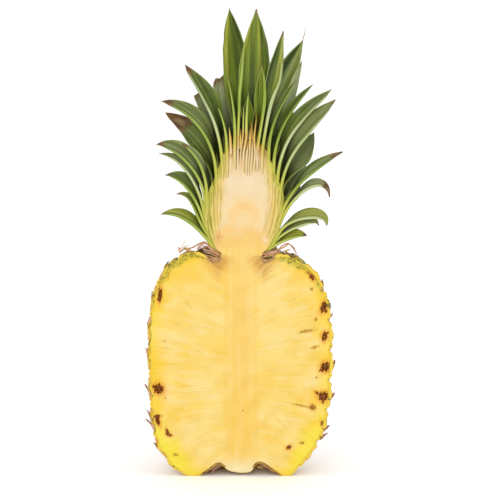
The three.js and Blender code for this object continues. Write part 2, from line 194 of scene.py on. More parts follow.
class Finish:  # one material while it is being made: its tones by name, and the colour so far
    def __init__(self, name, tones):
        self.material = bpy.data.materials.new(name)
        self.material.use_nodes = True
        self.nodes = self.material.node_tree.nodes
        self.links = self.material.node_tree.links
        self.nodes.clear()
        self.tones, self.colour = tones, None

    def node(self, kind, settings, values, output=0):
        made = self.nodes.new("ShaderNode" + kind)
        for name, setting in settings.items():
            setattr(made, name, setting)
        for key, value in values.items():
            if isinstance(value, Wire):
                self.links.new(value.socket, made.inputs[key])
            else:
                made.inputs[key].default_value = value
        return Wire(self, made.outputs[output]) if made.outputs else None

    def maths(self, operation, a, b=0.0):
        return self.node("Math", {"operation": operation}, {0: a, 1: b})

    def magnitude(self, value):
        return self.maths("ABSOLUTE", value)

    def step(self, value, low, high):  # 0 below low, 1 above high
        return self.node("MapRange", {"interpolation_type": "SMOOTHSTEP"}, {0: value, 1: low, 2: high})

    def mix(self, share, a, b):  # a where share is 0, b where it is 1: each a colour or a tone's name
        a, b = (tone(self.tones[c]) if isinstance(c, str) else c for c in (a, b))
        return self.node("Mix", {"data_type": "RGBA"}, {0: share, 6: a, 7: b}, 2)

    def between(self, value, low, high, a, b):  # a where the value is low, b where it is high
        return self.mix(self.step(value, low, high), a, b)

    def lay(self, over, share):  # a colour or tone over the colour so far
        self.colour = self.mix(share, self.colour, over)

    def field(self, name):  # a number stored on the mesh
        return self.node("Attribute", {"attribute_name": name}, {}, 2)

    def spot(self):  # the point's own place, in metres
        return self.node("TexCoord", {}, {}, 3)

    def millimetres(self, axis):  # the point's x, y or z, about the fruit's own axis
        return self.node("SeparateXYZ", {}, {0: self.spot()}, axis) * perMetre - origin[axis] * perMetre

    def flow(self):  # the map that follows the piece: across and along, in millimetres
        spot = self.node("UVMap", {"uv_map": "Flow"}, {})
        return [self.node("SeparateXYZ", {}, {0: spot}, k) for k in range(2)]

    def noise(self, vector, scale, detail=3.0, roughness=0.5):
        values = {"Vector": vector, "Scale": scale, "Detail": detail, "Roughness": roughness}
        return self.node("TexNoise", {"noise_dimensions": "3D"}, values)

    def grain(self, across, along, wide, long, place=0.0, detail=3.0, roughness=0.5):
        # noise drawn out along a piece: about wide across and long along, in millimetres
        vector = self.node("CombineXYZ", {}, {0: across / wide, 1: along / long, 2: place})
        return self.noise(vector, 1.0, detail, roughness)

    def bump(self, height, distance, strength):
        return self.node("Bump", {}, {"Height": height, "Distance": distance, "Strength": strength})

    def surface(self, values):  # the material, in the colour so far
        shader = self.node("BsdfPrincipled", {}, {"Base Color": self.colour, **values})
        self.node("OutputMaterial", {}, {0: shader})
        return self.material


fullTone = 0.645  # the reflectance that looks white in this scene's light


def tone(code):  # a colour as it looks in white light, as the reflectance that gives it
    levels = np.array([int(code[k:k + 2], 16) for k in (0, 2, 4)]) / 255
    linear = np.where(levels <= 0.04045, levels / 12.92, ((levels + 0.055) / 1.055) ** 2.4)
    return (*(linear * fullTone).tolist(), 1.0)


# the crown's own axis, which stands to the right of the fruit's and leans a little further right
# as it rises, and the frame's place
crown = {
    "foot": 0.7,
    "top": 3.4,
    "leansTo": 200.0,
    "side": [(14, 153.4), (19.5, 159), (24, 169), (26.5, 181), (25.6, 194), (20.6, 206), (17.2, 215.5),
             (13.2, 224), (7, 229), (0, 231)],
}
heartLine = smoothProfile(crown["side"], lineSteps)


def axisAt(height):  # the axis moves over from its foot to its top in an S
    return crown["foot"] + (crown["top"] - crown["foot"]) * smoothStep(height, neckHeight, crown["leansTo"])


heartEdges = [axisAt(heartLine[:, 1]) + side * heartLine[:, 0] for side in (1, -1)]
heartMiddle = (heartEdges[0].max() + heartEdges[1].min()) / 2
origin = np.array([(heartLow.x + heartHigh.x) / 2 - heartMiddle * perMm, heartLow.y, 0.0])


# the fruit's outline and its eyes
fruit = {
    "rightSide": [(0, 2), (6.5, 3), (12, 8.8), (18, 6.4), (23.5, 2.6), (27.5, 0), (31.5, -0.6), (35, 0.6),
                  (39.8, 5.6), (46, 14), (53.5, 25), (59.5, 46), (61.3, 68), (61.6, 95), (59, 120),
                  (51.5, 138), (39, 149.5), (28, 152), (20, 149.3), (16, 148), (14, 153.4)],
    "leftSide": [(0, 2), (8, 3.6), (15.5, 8.2), (20, 5.4), (24.5, 2.2), (28.5, -0.1), (33, -0.6), (38, 0.5),
                 (46, 5.8), (53, 14.5), (58.5, 25.5), (61.5, 45), (62.6, 68), (63, 95), (60.5, 120),
                 (54, 138.5), (42.5, 150.5), (30, 153.5), (21, 149.5), (16, 147.5), (14, 153.4)],
    "steps": 600,
    "halfWidth": 62,
    "normalSteps": 2.4,  # steps of the outline either side of a point that give its normal
}
eyes = {
    "area": 383.0,  # mm2 of rind for each eye
    "turn": -2 * np.pi * 8 / 21,
    "first": 25.0,  # arc length from the base's middle to the first eye
    "beyond": 0.45,  # eyes are placed this far past the cut, in radians
    "innermost": 19.0,  # no eye nearer to the stem scar or the neck than this radius
    "atOnce": 20000,  # points compared with the eyes at a time
    "rise": 1.1,
    "groove": 1.5,
    "grooveWidth": 6.0,
    "boss": (0.7, 2.6),  # height and width
    "ring": (0.55, 5, 1.5),  # depth, radius and width
    "petals": (0.22, 4, 3),  # height, radius and width
    "lumps": [(0.12, 3.1, 5), (0.06, 1.6, 6)],  # height, wavelength and seed
}
rightLine = smoothProfile(fruit["rightSide"], fruit["steps"])
leftLine = smoothProfile(fruit["leftSide"], fruit["steps"])
backLine = (rightLine + leftLine) / 2
backLength = alongLength(backLine)
backArea = np.r_[0, np.cumsum(np.pi * (backLine[1:, 0] + backLine[:-1, 0]) * np.diff(backLength))]
steps = np.arange(fruit["steps"] + 1)


def outlineAt(step, angle):
    # radius and height at a step of the outline: the right side's and the left side's, blended
    # by the cosine of the angle round the axis
    blend = (1 - np.cos(angle)) / 2
    right = [np.interp(step, steps, rightLine[:, k]) for k in (0, 1)]
    left = [np.interp(step, steps, leftLine[:, k]) for k in (0, 1)]
    return right[0] * (1 - blend) + left[0] * blend, right[1] * (1 - blend) + left[1] * blend


def outwardAt(step, angle):  # the outline's own normal, as radius and height
    r0, z0 = outlineAt(np.maximum(step - fruit["normalSteps"], 0), angle)
    r1, z1 = outlineAt(np.minimum(step + fruit["normalSteps"], fruit["steps"]), angle)
    length = np.hypot(z1 - z0, r0 - r1)
    return (z1 - z0) / length, (r0 - r1) / length


def placeEyes():
    # angle, arc length and radius of every eye: each a fixed turn on, and an equal area higher
    area = np.arange(np.interp(eyes["first"], backLength, backArea), backArea[-1], eyes["area"])
    angle = np.mod(np.arange(len(area)) * eyes["turn"] + 1, 2 * np.pi) - 1
    length = np.interp(area, backArea, backLength)
    radius = np.interp(length, backLength, np.maximum(backLine[:, 0], 0))
    kept = (angle > -eyes["beyond"]) & (angle < np.pi + eyes["beyond"]) & (radius >= eyes["innermost"])
    return angle[kept], length[kept], radius[kept]


eyeAngle, eyeLength, eyeRadius = placeEyes()


def nearEyes(angle, length, radius):
    # for each point: distance to the nearest eye, how much nearer it is than the next one, and
    # the place in the eye's own plane, to its right and up it
    found = []
    for rows in np.array_split(np.arange(angle.size), max(angle.size // eyes["atOnce"], 1)):
        across = radius.reshape(-1)[rows, None] * (angle.reshape(-1)[rows, None] - eyeAngle)
        up = length.reshape(-1)[rows, None] - eyeLength
        distance = np.hypot(across, up)
        order = np.argpartition(distance, 1, axis=1)[:, :2]
        two = np.take_along_axis(distance, order, 1)
        first = np.where(two[:, 0] <= two[:, 1], order[:, 0], order[:, 1])
        pick = (np.arange(len(rows)), first)
        found.append(np.stack([two.min(1), np.abs(two[:, 0] - two[:, 1]), across[pick], up[pick]], 1))
    return [column.reshape(angle.shape) for column in np.vstack(found).T]


def rindRelief(angle, length, radius, height):
    # how far the rind stands out: domed eyes with a seam between them, a sunken ring round a boss
    # with three petals in the middle of each, and fine lumps; it fades towards base and neck
    distance, lead, across, up = nearEyes(angle, length, radius)
    (boss, bossWidth), (ring, ringRadius, ringWidth) = eyes["boss"], eyes["ring"]
    petals, petalRadius, petalWidth = eyes["petals"]
    ridge = smoothStep(lead, 0, eyes["grooveWidth"])
    fade = smoothStep(radius, 16, eyes["innermost"] + 6) * smoothStep(height, 0, 10)
    relief = ridge * (eyes["rise"] + eyes["groove"]) - eyes["groove"]
    relief += boss * bell(distance, bossWidth) - ring * bell(distance - ringRadius, ringWidth)
    petal = np.cos(3 * np.arctan2(up, across) + 0.5) * bell(distance - petalRadius, petalWidth)
    relief += petals * ridge * petal
    around = (angle * fruit["halfWidth"], length)
    relief += sum(tall * ripple(around, wavelength, seed) for tall, wavelength, seed in eyes["lumps"])
    return fade * relief, distance, lead, up


print("outline and", len(eyeAngle), "eyes worked out")


# the cut flesh
flesh = {
    "rows": 260,  # points up each side of the rim
    "rings": 128,  # from the rim to the middle of the cut face
    "ringPower": 0.8,  # below 1, the rings lie closer together towards the rim
    "neckSteps": 10,  # across the level top of the neck, which the crown's heart stands on
    "backColumns": 26,
    "middle": 78.0,  # height of the point that the rings close in on
    "set": 0.12,  # the cut face lies this far behind y = 0
    "inset": 0.9,  # the flesh ends this far inside the fruit's outline
    "rimRelief": 0.6,  # the share of the rind's relief that the rim follows
    "core": (10, 16),  # the core ends between these distances from the axis
    "fibreRise": 16.0,  # a fibre climbs this much on its way out from the core
    "fibreFan": 0.6,
    "fibreMiddle": 84.0,  # fibres above this height fan up, those below fan down
    "fibreRelief": 0.06,
    "swell": (0.35, 22, 15),  # height, wavelength and seed
    "ragged": [(0.22, 2.6, 11), (0.16, 1.3, 16)],
}
# dark flower cavities near the rim, the larger ones with arms: x, z, half width, half height,
# turn, depth
cavities = [
    (48.4, 137.1, 1.4, 2.2, 0.3, 1.4), (46.4, 139.3, 1.8, 0.6, -0.7, 0.7), (48.1, 128.8, 0.9, 1.1, 0.4, 0.6),
    (56.2, 116.6, 1.6, 3.5, -0.35, 2.4), (58.6, 119.4, 2.1, 1, -0.3, 1.4), (57.8, 113.9, 1.4, 0.9, 0.3, 1.4),
    (51, 108.2, 0.9, 1.3, -0.6, 0.5), (57, 96.5, 1.8, 2.9, -0.2, 2.2), (58.8, 98.7, 1.3, 0.8, 0.5, 1.2),
    (57.8, 75.4, 3, 2.8, 0.7, 3), (61, 77.8, 2.3, 0.9, 0.7, 1.6), (54.9, 73.3, 1.6, 0.7, 0.6, 1),
    (51.6, 68.2, 0.8, 0.8, 0, 0.5), (56.4, 55.2, 3.2, 2.7, 0.1, 2.8), (52.5, 57.2, 2.1, 0.8, -0.5, 1.4),
    (60.6, 55.4, 2.5, 0.9, 0.1, 1.6), (56, 51.9, 0.9, 1.7, 0.1, 1.2), (49, 47.6, 1.6, 1.9, 0.4, 0.7),
    (32.8, 19.9, 1.7, 1.1, 0.5, 1), (41.8, 22.9, 1.6, 0.9, 0, 0.6), (55.6, 36.4, 1.1, 1.9, 0.2, 0.8),
    (-55, 125, 1.2, 4.1, -0.08, 2.2), (-55.9, 121.6, 1, 1.3, 0.5, 1.2), (-56.3, 60.1, 3.1, 3.1, 0.2, 3),
    (-59.4, 61.9, 1.7, 0.8, -0.4, 1.2), (-57.6, 41.3, 2.5, 0.9, 0.1, 1.6), (-56.9, 38.2, 1.3, 3.1, 0.35, 2.2),
    (-50.4, 30.3, 1, 2.1, 0.3, 1.2), (-49.2, 28.3, 1.9, 0.9, -0.2, 1), (-51.6, 53.9, 0.7, 0.7, 0, 0.4),
    (-52.2, 93.1, 0.8, 0.6, 0, 0.3), (1.2, 45.4, 0.7, 0.5, 0, 0.3), (-44.8, 14.8, 1.5, 1, 0.2, 0.4),
]
# shallow slits between the fruitlets: x, z, half length, half height, turn, depth
slits = [
    (44.7, 100, 6.2, 1.1, 0.17, 1.2), (50.2, 89, 3.4, 1, 0.25, 0.9), (41.6, 48.6, 8.6, 0.7, -0.22, 0.8),
    (48.6, 47.4, 3.2, 1.6, -0.1, 1),
    (33, 94, 4, 0.5, 0.3, 0.3), (-48, 77, 7, 0.6, 0, 0.3), (-51, 88, 4, 0.6, -0.3, 0.3),
    (-38, 62, 5, 0.6, 0.1, 0.25), (-44, 105, 5.5, 0.7, -0.5, 0.3), (-36, 118, 5, 0.8, -0.9, 0.3),
    (38, 70, 6, 0.5, 0, 0.25), (36, 122, 5, 0.7, 0.6, 0.25), (-40, 40, 6, 0.6, 0.25, 0.25),
    (44, 30, 4, 0.6, -0.6, 0.3), (28, 36, 7, 0.5, -0.8, 0.25), (-30, 86, 5, 0.5, -0.4, 0.2),
]
farOff = -9.0  # the nearness of a point that is outside every cavity


def nearness(x, z, spots):
    # for each point, how deep it lies inside the nearest turned ellipse: 1 in its middle, 0 on
    # its edge, below 0 outside; and that ellipse's depth
    best, depth = np.full(x.shape, farOff), np.zeros(x.shape)
    for cx, cz, halfWidth, halfHeight, turn, deep in spots:
        dx = (x - cx) * np.cos(turn) + (z - cz) * np.sin(turn)
        dz = (z - cz) * np.cos(turn) - (x - cx) * np.sin(turn)
        inside = 1 - np.sqrt((dx / halfWidth) ** 2 + (dz / halfHeight) ** 2)
        depth = np.where(inside > best, deep, depth)
        best = np.maximum(best, inside)
    return best, depth


def fibreFlow(x, z):
    # t runs from the core to the rim, and each fibre keeps the height at which it leaves the core
    t = np.clip(np.abs(x) / fruit["halfWidth"], 0, 1.1)
    rise, fan = flesh["fibreRise"] * t**0.6, flesh["fibreFan"] * t
    return t * fruit["halfWidth"] * np.sign(x), (z - rise + fan * flesh["fibreMiddle"]) / (1 + fan)


def rimPoints(rows):
    # the fruit's outline in the cut plane, from the base's middle up each side to the neck's
    # middle, a little inside the rind except about the neck and the base's middle
    step = np.interp(np.linspace(0, backLength[-1], rows + 1), backLength, steps)
    cap = np.linspace(1, 0, flesh["neckSteps"] + 1)[1:]
    for angle in (0.0, np.pi):
        radius, height = outlineAt(step, angle)
        outR, outZ = outwardAt(step, angle)
        length = np.interp(step, steps, backLength)
        relief = rindRelief(np.full(rows + 1, angle), length, radius, height)[0]
        away = flesh["rimRelief"] * relief - flesh["inset"] * smoothStep(radius, 10, 17)
        r, z = np.maximum(radius + away * outR, 0), np.maximum(height + away * outZ, 0)
        yield np.r_[r, r[-1] * cap], np.r_[z, np.full(len(cap), neckHeight)]


def cutFace(x, z, toRim):
    # how far each point of the cut lies back, and the fields that its colours need: cavities and
    # slits with ragged edges, fibres that fan out from the core, lines along it, and a soft swell
    spot, spotDepth = nearness(x, z, cavities)
    slit, slitDepth = nearness(x, z, slits)
    flowX, flowZ = fibreFlow(x, z)
    core = 1 - smoothStep(np.abs(x), *flesh["core"])
    ragged = sum(tall * ripple((x, z), wavelength, seed) for tall, wavelength, seed in flesh["ragged"])
    spot, slit = spot + ragged, slit + ragged
    y = spotDepth * smoothStep(spot, -0.15, 0.6) + slitDepth * smoothStep(slit, -0.2, 0.8)
    streaks = ripple((flowX / 9, flowZ), 2.2, 12) + 0.6 * ripple((flowX / 7, flowZ), 1.1, 13)
    lines = ripple((x, z / 14), 1.6, 14)
    y += flesh["fibreRelief"] * ((1 - core) * streaks + core * 0.7 * lines)
    swell, wavelength, seed = flesh["swell"]
    y += swell * ripple((x, z), wavelength, seed) * smoothStep(toRim, 0, 10) * (1 - smoothStep(z, 138, 150))
    return y, {"spot": spot, "spotDepth": spotDepth, "slit": slit, "slitDepth": slitDepth,
               "toRim": toRim, "u": flowX, "v": flowZ}


def fleshPart():
    # the front is a fan of rings from the rim to the middle of the cut face; the back follows the
    # fruit's outline just inside the rind
    rings, columns, middle = flesh["rings"], flesh["backColumns"], flesh["middle"]
    (rightR, rightZ), (leftR, leftZ) = rimPoints(flesh["rows"])
    last = len(rightR) - 1
    rimX = np.r_[rightR, -leftR[last - 1:0:-1]]
    rimZ = np.r_[rightZ, leftZ[last - 1:0:-1]]
    around = len(rimX)
    share = (1 - np.linspace(0, 1, rings + 1)[:-1]) ** flesh["ringPower"]
    x = np.r_[(share[:, None] * rimX).reshape(-1), 0.0]
    z = np.r_[(middle + share[:, None] * (rimZ - middle)).reshape(-1), middle]
    toRim = np.r_[((1 - share)[:, None] * np.hypot(rimX, rimZ - middle)).reshape(-1), 60.0]
    y, fields = cutFace(x, z, toRim)
    y[:around] = 0
    front = np.stack([x, y + flesh["set"], z], -1)

    index = numbered(rings, around)
    closed = np.hstack([index, index[:, :1]])
    hub = np.stack([closed[-1, 1:], closed[-1, :-1], np.full(around, rings * around)], -1)
    faces = [gridQuads(closed.T), hub[:, ::-1]]
    angle = np.linspace(0, np.pi, columns + 1)
    blend = (1 - np.cos(angle)) / 2
    radius = rightR[:, None] * (1 - blend) + leftR[:, None] * blend
    height = rightZ[:, None] * (1 - blend) + leftZ[:, None] * blend
    back = np.stack([radius * np.cos(angle), radius * np.sin(angle) + flesh["set"], height], -1)[1:-1, 1:-1]
    number = np.zeros((last + 1, columns + 1), int)
    number[1:-1, 1:-1] = numbered(*back.shape[:2], len(front))
    number[:, 0] = np.arange(last + 1)
    number[1:-1, -1] = np.arange(around - 1, last, -1)
    number[0], number[-1] = 0, last
    quads = gridQuads(number)[:, ::-1]
    poles = (quads == np.roll(quads, 1, axis=1)).any(1)  # quads with two corners in one are triangles
    faces.append(quads[~poles])
    faces += [np.array([list(dict.fromkeys(quad.tolist()))]) for quad in quads[poles]]
    back = back.reshape(-1, 3)
    behind = {"spot": farOff, "slit": farOff, "u": back[:, 0], "v": back[:, 2]}
    fields = {name: np.r_[value, behind.get(name, 0) + np.zeros(len(back))] for name, value in fields.items()}
    return {"points": np.vstack([front, back]), "faces": faces, "fields": fields}


coreTones = {"core": "fdd36e", "coreLight": "fedb84", "coreGold": "fccf52", "coreLine": "f9c860"}
fleshTones = {
    **coreTones, "flesh": "fed96c", "fleshLight": "fee088", "pale": "fee596", "golden": "fdd25a",
    "paleFibre": "fee9a4", "goldFibre": "fbd050", "fineFibre": "f4c955", "upperLeft": "fdd450",
    "palePatch": "fee69a", "goldPatch": "fdd02e", "rimGold": "fdd022", "rimLemon": "fee044",
    "lowRim": "fbe83e", "shoulder": "bcb02c", "shoulderSpot": "5a4404", "coreEdge": "fbc852",
    "foot": "fff0bd", "notch": "e8ae50", "notchFibre": "b0762c", "slitEdge": "f6c840", "slit": "cb932c",
    "halo": "f0a02c", "cavityEdge": "b8781c", "cavity": "561f02", "rust": "a04e0a", "husk": "c88a30",
    "shallow": "b8902a", "skin": "e8b824",
}


def coreColour(f, x, z):
    # the pale fibrous core, which runs on up into the crown's stem, with its fine lines and its
    # broad ones: x and z in millimetres
    line = f.grain(x, z, 1.9, 60, 2.0, 3.0, 0.6)
    broad = f.grain(x, z, 6, 70, 6.0, 1.0)
    colour = f.between(broad, 0.4, 0.62, "core", "coreLight")
    colour = f.mix(f.step(z, 75, 45) * f.step(z, 12, 26) * 0.5, colour, "coreGold")
    return f.mix(f.step(line, 0.56, 0.72) * 0.35, colour, "coreLine"), line, broad


def fleshFinish():
    f = Finish("cut flesh", fleshTones)
    spot, x, z = f.spot(), f.millimetres(0), f.millimetres(2)
    across, fibre = f.flow()
    toRim, fromAxis = f.field("toRim"), f.magnitude(x)
    broad = f.grain(across, fibre, 50, 15, 0.0, 2.0)
    streak = f.grain(across, fibre, 30, 3.6, 4.0, 3.0, 0.6)
    fine = f.grain(across, fibre, 12, 1.0, 8.0, 2.0, 0.6)
    patch = f.grain(across, fibre, 14, 8, 12.0, 2.0)
    blotch = f.noise(spot, 55.0, 2.0)
    coreTone, coreLine, coreBroad = coreColour(f, x, z)
    # fibres that fan out from the core, paler and more golden in turn
    f.colour = f.between(broad, 0.36, 0.64, "flesh", "fleshLight")
    f.lay("pale", f.step(blotch, 0.5, 0.68) * 0.5)
    f.lay("golden", f.step(blotch, 0.48, 0.32) * 0.5)
    f.lay("paleFibre", f.step(streak, 0.52, 0.7) * 0.5)
    f.lay("goldFibre", f.step(streak, 0.46, 0.28) * 0.5)
    f.lay("fineFibre", f.step(fine, 0.45, 0.3) * 0.2)
    f.lay("upperLeft", f.step(z, 96, 130) * f.step(x, 20, -20) * 0.4)
    outer = f.step(fromAxis, 24, 46)
    f.lay("palePatch", f.step(patch, 0.54, 0.68) * outer * 0.55)
    f.lay("goldPatch", f.step(patch, 0.46, 0.34) * outer * 0.6)
    # the rim, more yellow, and more so low down; then the core
    low = f.step(z, 50, 22) * f.step(fromAxis, 26, 44)
    rim = f.mix(low, f.between(broad, 0.4, 0.6, "rimGold", "rimLemon"), "lowRim")
    f.lay(rim, f.step(toRim + broad * 16 - low * 6, 21, 7) * f.step(fromAxis, 18, 30) * 0.9)
    f.lay(coreTone, f.step(fromAxis + coreBroad * 7 + blotch * 4, 19, 9))
    shoulder = f.step(z, 122, 140) * f.step(fromAxis, 20, 26) * f.step(toRim + (blotch - 0.5) * 5, 5.5, 1.5)
    f.lay("shoulder", shoulder * 0.8)
    f.lay("shoulderSpot", shoulder * f.step(f.noise(spot, 700.0, 2.0), 0.54, 0.62) * 0.85)
    f.lay("coreEdge", f.step(f.magnitude(fromAxis - 10) + coreLine * 3, 5, 1.6) * 0.25)
    f.lay("foot", f.step(z, 16, 4) * f.step(fromAxis, 24, 12) * 0.8)
    # brown fibres where the notches beside the neck end
    notch = f.magnitude(fromAxis - 15.5) + f.magnitude(z - 148) * 0.8 + streak * 6
    f.lay("notch", f.step(notch, 19, 8) * 0.65)
    f.lay("notchFibre", f.step(notch, 13, 7) * f.step(fine, 0.4, 0.56) * 0.55)
    # slits, then cavities: an orange halo, a brown edge, and a dark husk inside the deep ones
    ragged = f.noise(spot, 1100.0, 3.0)
    slit = f.field("slit") + (ragged - 0.5) * 0.6
    f.lay("slitEdge", f.step(slit, -0.8, 0.3) * 0.4)
    f.lay("slit", f.step(slit, -0.1, 0.5) * f.step(f.field("slitDepth"), 0.3, 0.9) * 0.85)
    cavity = f.field("spot") + (ragged - 0.5) * 0.6
    deep = f.step(f.field("spotDepth"), 0.5, 1.0)
    f.lay("halo", f.step(cavity, -1.5, 0.0) * (deep * 0.55 + 0.2))
    f.lay("cavityEdge", f.step(cavity, -0.3, 0.0) * (deep * 0.4 + 0.2))
    dark = f.between(ragged, 0.35, 0.65, "cavity", "rust")
    dark = f.mix(f.step(cavity, 0.3, 0.7) * f.step(ragged, 0.42, 0.56) * 0.8, dark, "husk")
    f.lay(f.mix(deep, "shallow", dark), f.step(cavity, -0.08, 0.14) * (deep * 0.25 + 0.75))
    f.lay("skin", f.step(toRim, 0.8, 0.1) * 0.4)
    relief = streak * 0.4 + fine * 0.35 + f.noise(spot, 2600.0, 2.0) * 0.4
    roughness = f.step(fine, 0.2, 0.9) * 0.16 + 0.38
    return f.surface({"Roughness": roughness, "Normal": f.bump(relief, 0.0004, 0.4), **translucent})


# what the flesh and the crown's heart share: light goes a little way into both
translucent = {"IOR": 1.36, "Specular IOR Level": 0.35, "Subsurface Weight": 0.25,
               "Subsurface Radius": (1.0, 0.65, 0.2), "Subsurface Scale": 0.0015}
fleshPiece = makePiece("flesh", fleshPart(), fleshFinish(), ["fruit_half"])
print("flesh made:", len(fleshPiece.data.polygons), "faces")


# the rind
rind = {
    "rows": 250,
    "columns": 312,
    "innerEvery": 6,  # the outer skin's columns for each one of the inner skin's
    "from": 11.0,  # arc length from the base's middle to its lower end
    "to": 2.5,  # arc length from its upper end to the neck
    "thickness": 1.3,
    "innerRelief": (0.6, 0.2),  # the inner skin follows this share of the relief, and at most so far out
    "innerFloor": 0.6,  # the inner skin stays this far above the table
}


def rindPart():
    # an outer skin with the eyes in relief, an inner skin that follows it, and the edges between
    columns, every = rind["columns"], rind["innerEvery"]
    length = np.linspace(rind["from"], backLength[-1] - rind["to"], rind["rows"] + 1)
    step = np.interp(length, backLength, steps)[:, None]
    angle = np.linspace(0, np.pi, columns + 1)[None, :]
    step, angle, length = np.broadcast_arrays(step, angle, length[:, None])
    radius, height = outlineAt(step, angle)
    outR, outZ = outwardAt(step, angle)
    relief, distance, lead, up = rindRelief(angle, length, radius, height)
    inner = np.arange(0, columns + 1, every)

    def skin(away, pick):  # the picked columns of the outline, moved out along its normal
        r = radius[:, pick] + away * outR[:, pick]
        z = np.maximum(height[:, pick] + away * outZ[:, pick], 0)
        flat = np.where(np.isin(angle[:, pick], (0.0, np.pi)), 0.0, 1.0)
        return np.stack([r * np.cos(angle[:, pick]), flat * r * np.sin(angle[:, pick]), z], -1)

    def both(field):  # a field over both skins
        return np.r_[field.reshape(-1), field[:, inner].reshape(-1)]

    share, most = rind["innerRelief"]
    outside = skin(relief, np.arange(columns + 1))
    inside = skin(np.minimum(share * relief[:, inner], most) - rind["thickness"], inner)
    inside[..., 2] = np.maximum(inside[..., 2], rind["innerFloor"])
    outNumber = numbered(*outside.shape[:2])
    inNumber = numbered(*inside.shape[:2], outNumber.size)
    faces = [gridQuads(outNumber), gridQuads(inNumber)[:, ::-1]]
    for out, into in ((outNumber[:, 0], inNumber[:, 0]), (outNumber[::-1, -1], inNumber[::-1, -1])):
        faces.append(np.stack([out[:-1], into[:-1], into[1:], out[1:]], -1)[:, ::-1])
    for row, turned in ((0, False), (-1, True)):  # the ends at the stem scar and at the neck
        for k in range(len(inner) - 1):
            edge = outNumber[row, k * every:(k + 1) * every + 1]
            face = np.r_[edge, inNumber[row, k + 1], inNumber[row, k]][None]
            faces.append(face if turned else face[:, ::-1])
    fields = {
        "lead": both(lead), "eyeDistance": both(distance), "eyeUp": both(up), "skinHeight": both(height),
        "inner": np.r_[np.zeros(outNumber.size), np.ones(inNumber.size)],
        "u": both(angle * fruit["halfWidth"]), "v": both(length),
    }
    return {"points": np.vstack([outside.reshape(-1, 3), inside.reshape(-1, 3)]), "faces": faces,
            "fields": fields}


rindTones = {
    "eye": "e8a41c", "eyePale": "f7bf33", "eyeTop": "e08b1c", "seam": "8f8a22", "seamDark": "6e7422",
    "crease": "5b4518", "ring": "b98a3c", "boss": "6d4a26", "bossPale": "a98558", "shoulder": "8a8f24",
    "shoulderPale": "c9b638", "shoulderSpot": "3f4214", "base": "a8701f", "fleck": "7c5a1c",
    "paintedLightBesideCut": "f6d23c", "band": "ecc034", "bandInner": "fbd83c", "bandFleck": "5e4a08",
    "beneath": "8a5a30", "beneathPale": "d0a060", "recess": "701e06",
}


def rindFinish():
    f = Finish("rind", rindTones)
    spot, fromAxis = f.spot(), f.magnitude(f.millimetres(0))
    lead, distance, height, up, inner = map(f.field, ("lead", "eyeDistance", "skinHeight", "eyeUp", "inner"))
    mottle = f.noise(spot, 260.0, 3.0)
    fine = f.noise(spot, 1500.0, 3.0, 0.6)
    patch = f.noise(spot, 40.0, 2.0)
    flecked = mottle + (fine - 0.5) * 0.4
    f.colour = f.between(mottle, 0.35, 0.65, "eye", "eyePale")
    f.lay("eyeTop", f.step(up + mottle * 6, 2, 9) * 0.45)
    f.lay(f.between(fine, 0.4, 0.6, "seam", "seamDark"), f.step(lead + mottle * 2.4, 3.4, 1.0) * 0.75)
    f.lay("crease", f.step(lead + fine * 1.2, 1.3, 0.4) * 0.8)
    f.lay("ring", f.step(distance + mottle * 3.0, 6.4, 4.4) * 0.7)
    f.lay(f.between(fine, 0.4, 0.62, "boss", "bossPale"), f.step(distance + fine * 1.6, 3.6, 2.4) * 0.85)
    top = f.between(mottle, 0.42, 0.58, "shoulder", "shoulderPale")
    f.lay(f.between(flecked, 0.42, 0.34, top, "shoulderSpot"), f.step(height + patch * 26, 146, 160) * 0.85)
    f.lay("base", f.step(height + patch * 10, 12, 3) * 0.7)
    f.lay("fleck", f.step(fine, 0.62, 0.72) * 0.3)
    # painted light: beside the cut the skin is painted bright yellow, where its sides turn away from the
    # light
    paintedLightBesideCut = f.step(f.millimetres(1) + (mottle - 0.5) * 5, 4, 0.5) * f.step(mottle, 0.64, 0.54)
    f.lay("paintedLightBesideCut", paintedLightBesideCut * f.step(height, 150, 146) * 0.9)
    # the cut band: yellow, with olive flecks under the skin
    band = f.between(inner + (fine - 0.5) * 0.5, 0.05, 0.5, "band", "bandInner")
    band = f.mix(f.step(flecked, 0.57, 0.66) * 0.85, band, "bandFleck")
    beneath = f.between(fine, 0.4, 0.6, "beneath", "beneathPale")
    band = f.mix(f.step(height, 146.5, 148) * f.step(fromAxis, 25, 22), band, beneath)
    recess = f.step(height, 11, 8) * f.step(fromAxis, 30, 26)
    f.lay(f.mix(recess * f.step(fine, 0.36, 0.56), band, "recess"), f.step(inner, 0.03, 0.12))
    return f.surface({
        "Roughness": f.step(mottle, 0.3, 0.7) * 0.2 + 0.4, "IOR": 1.45,
        "Normal": f.bump(fine * 0.6 + mottle * 0.6, 0.0006, 0.7),
    })


rindPiece = makePiece("rind", rindPart(), rindFinish(), ["fruit_half"])
print("rind made:", len(rindPiece.data.polygons), "faces")


# the crown's heart
heart = {
    "foot": [(13.2, 148.8), (13.5, 151)],  # laid just over the fruit's neck
    "rows": 190,
    "front": 150,
    "back": 20,
    # how wide the leaf bases would stand, if the heart didn't close in again towards its top
    "fan": [(14, 153.4), (19.5, 159), (24.5, 169), (27.5, 181), (28.5, 200), (29, 230)],
    "domeHeight": 187.0,  # the top of the stem's dome in the cut, and half its width
    "domeWidth": 17.5,
    "fanScale": 27.0,  # millimetres of the pattern for each share of the fan's width
    "topSunk": 1.8,  # how far the top leans back
    "lineRelief": 0.018,
    "gapDepth": 2.4,
    "edgeDepth": 0.3,
    "swell": (0.25, 16, 22),  # height, wavelength and seed
    "set": 0.02,  # the cut face lies this far behind y = 0
    "footDepth": 0.3,
    "backSet": 0.95,  # the back starts this far behind y = 0
}
fanLine = smoothProfile(heart["fan"], lineSteps)
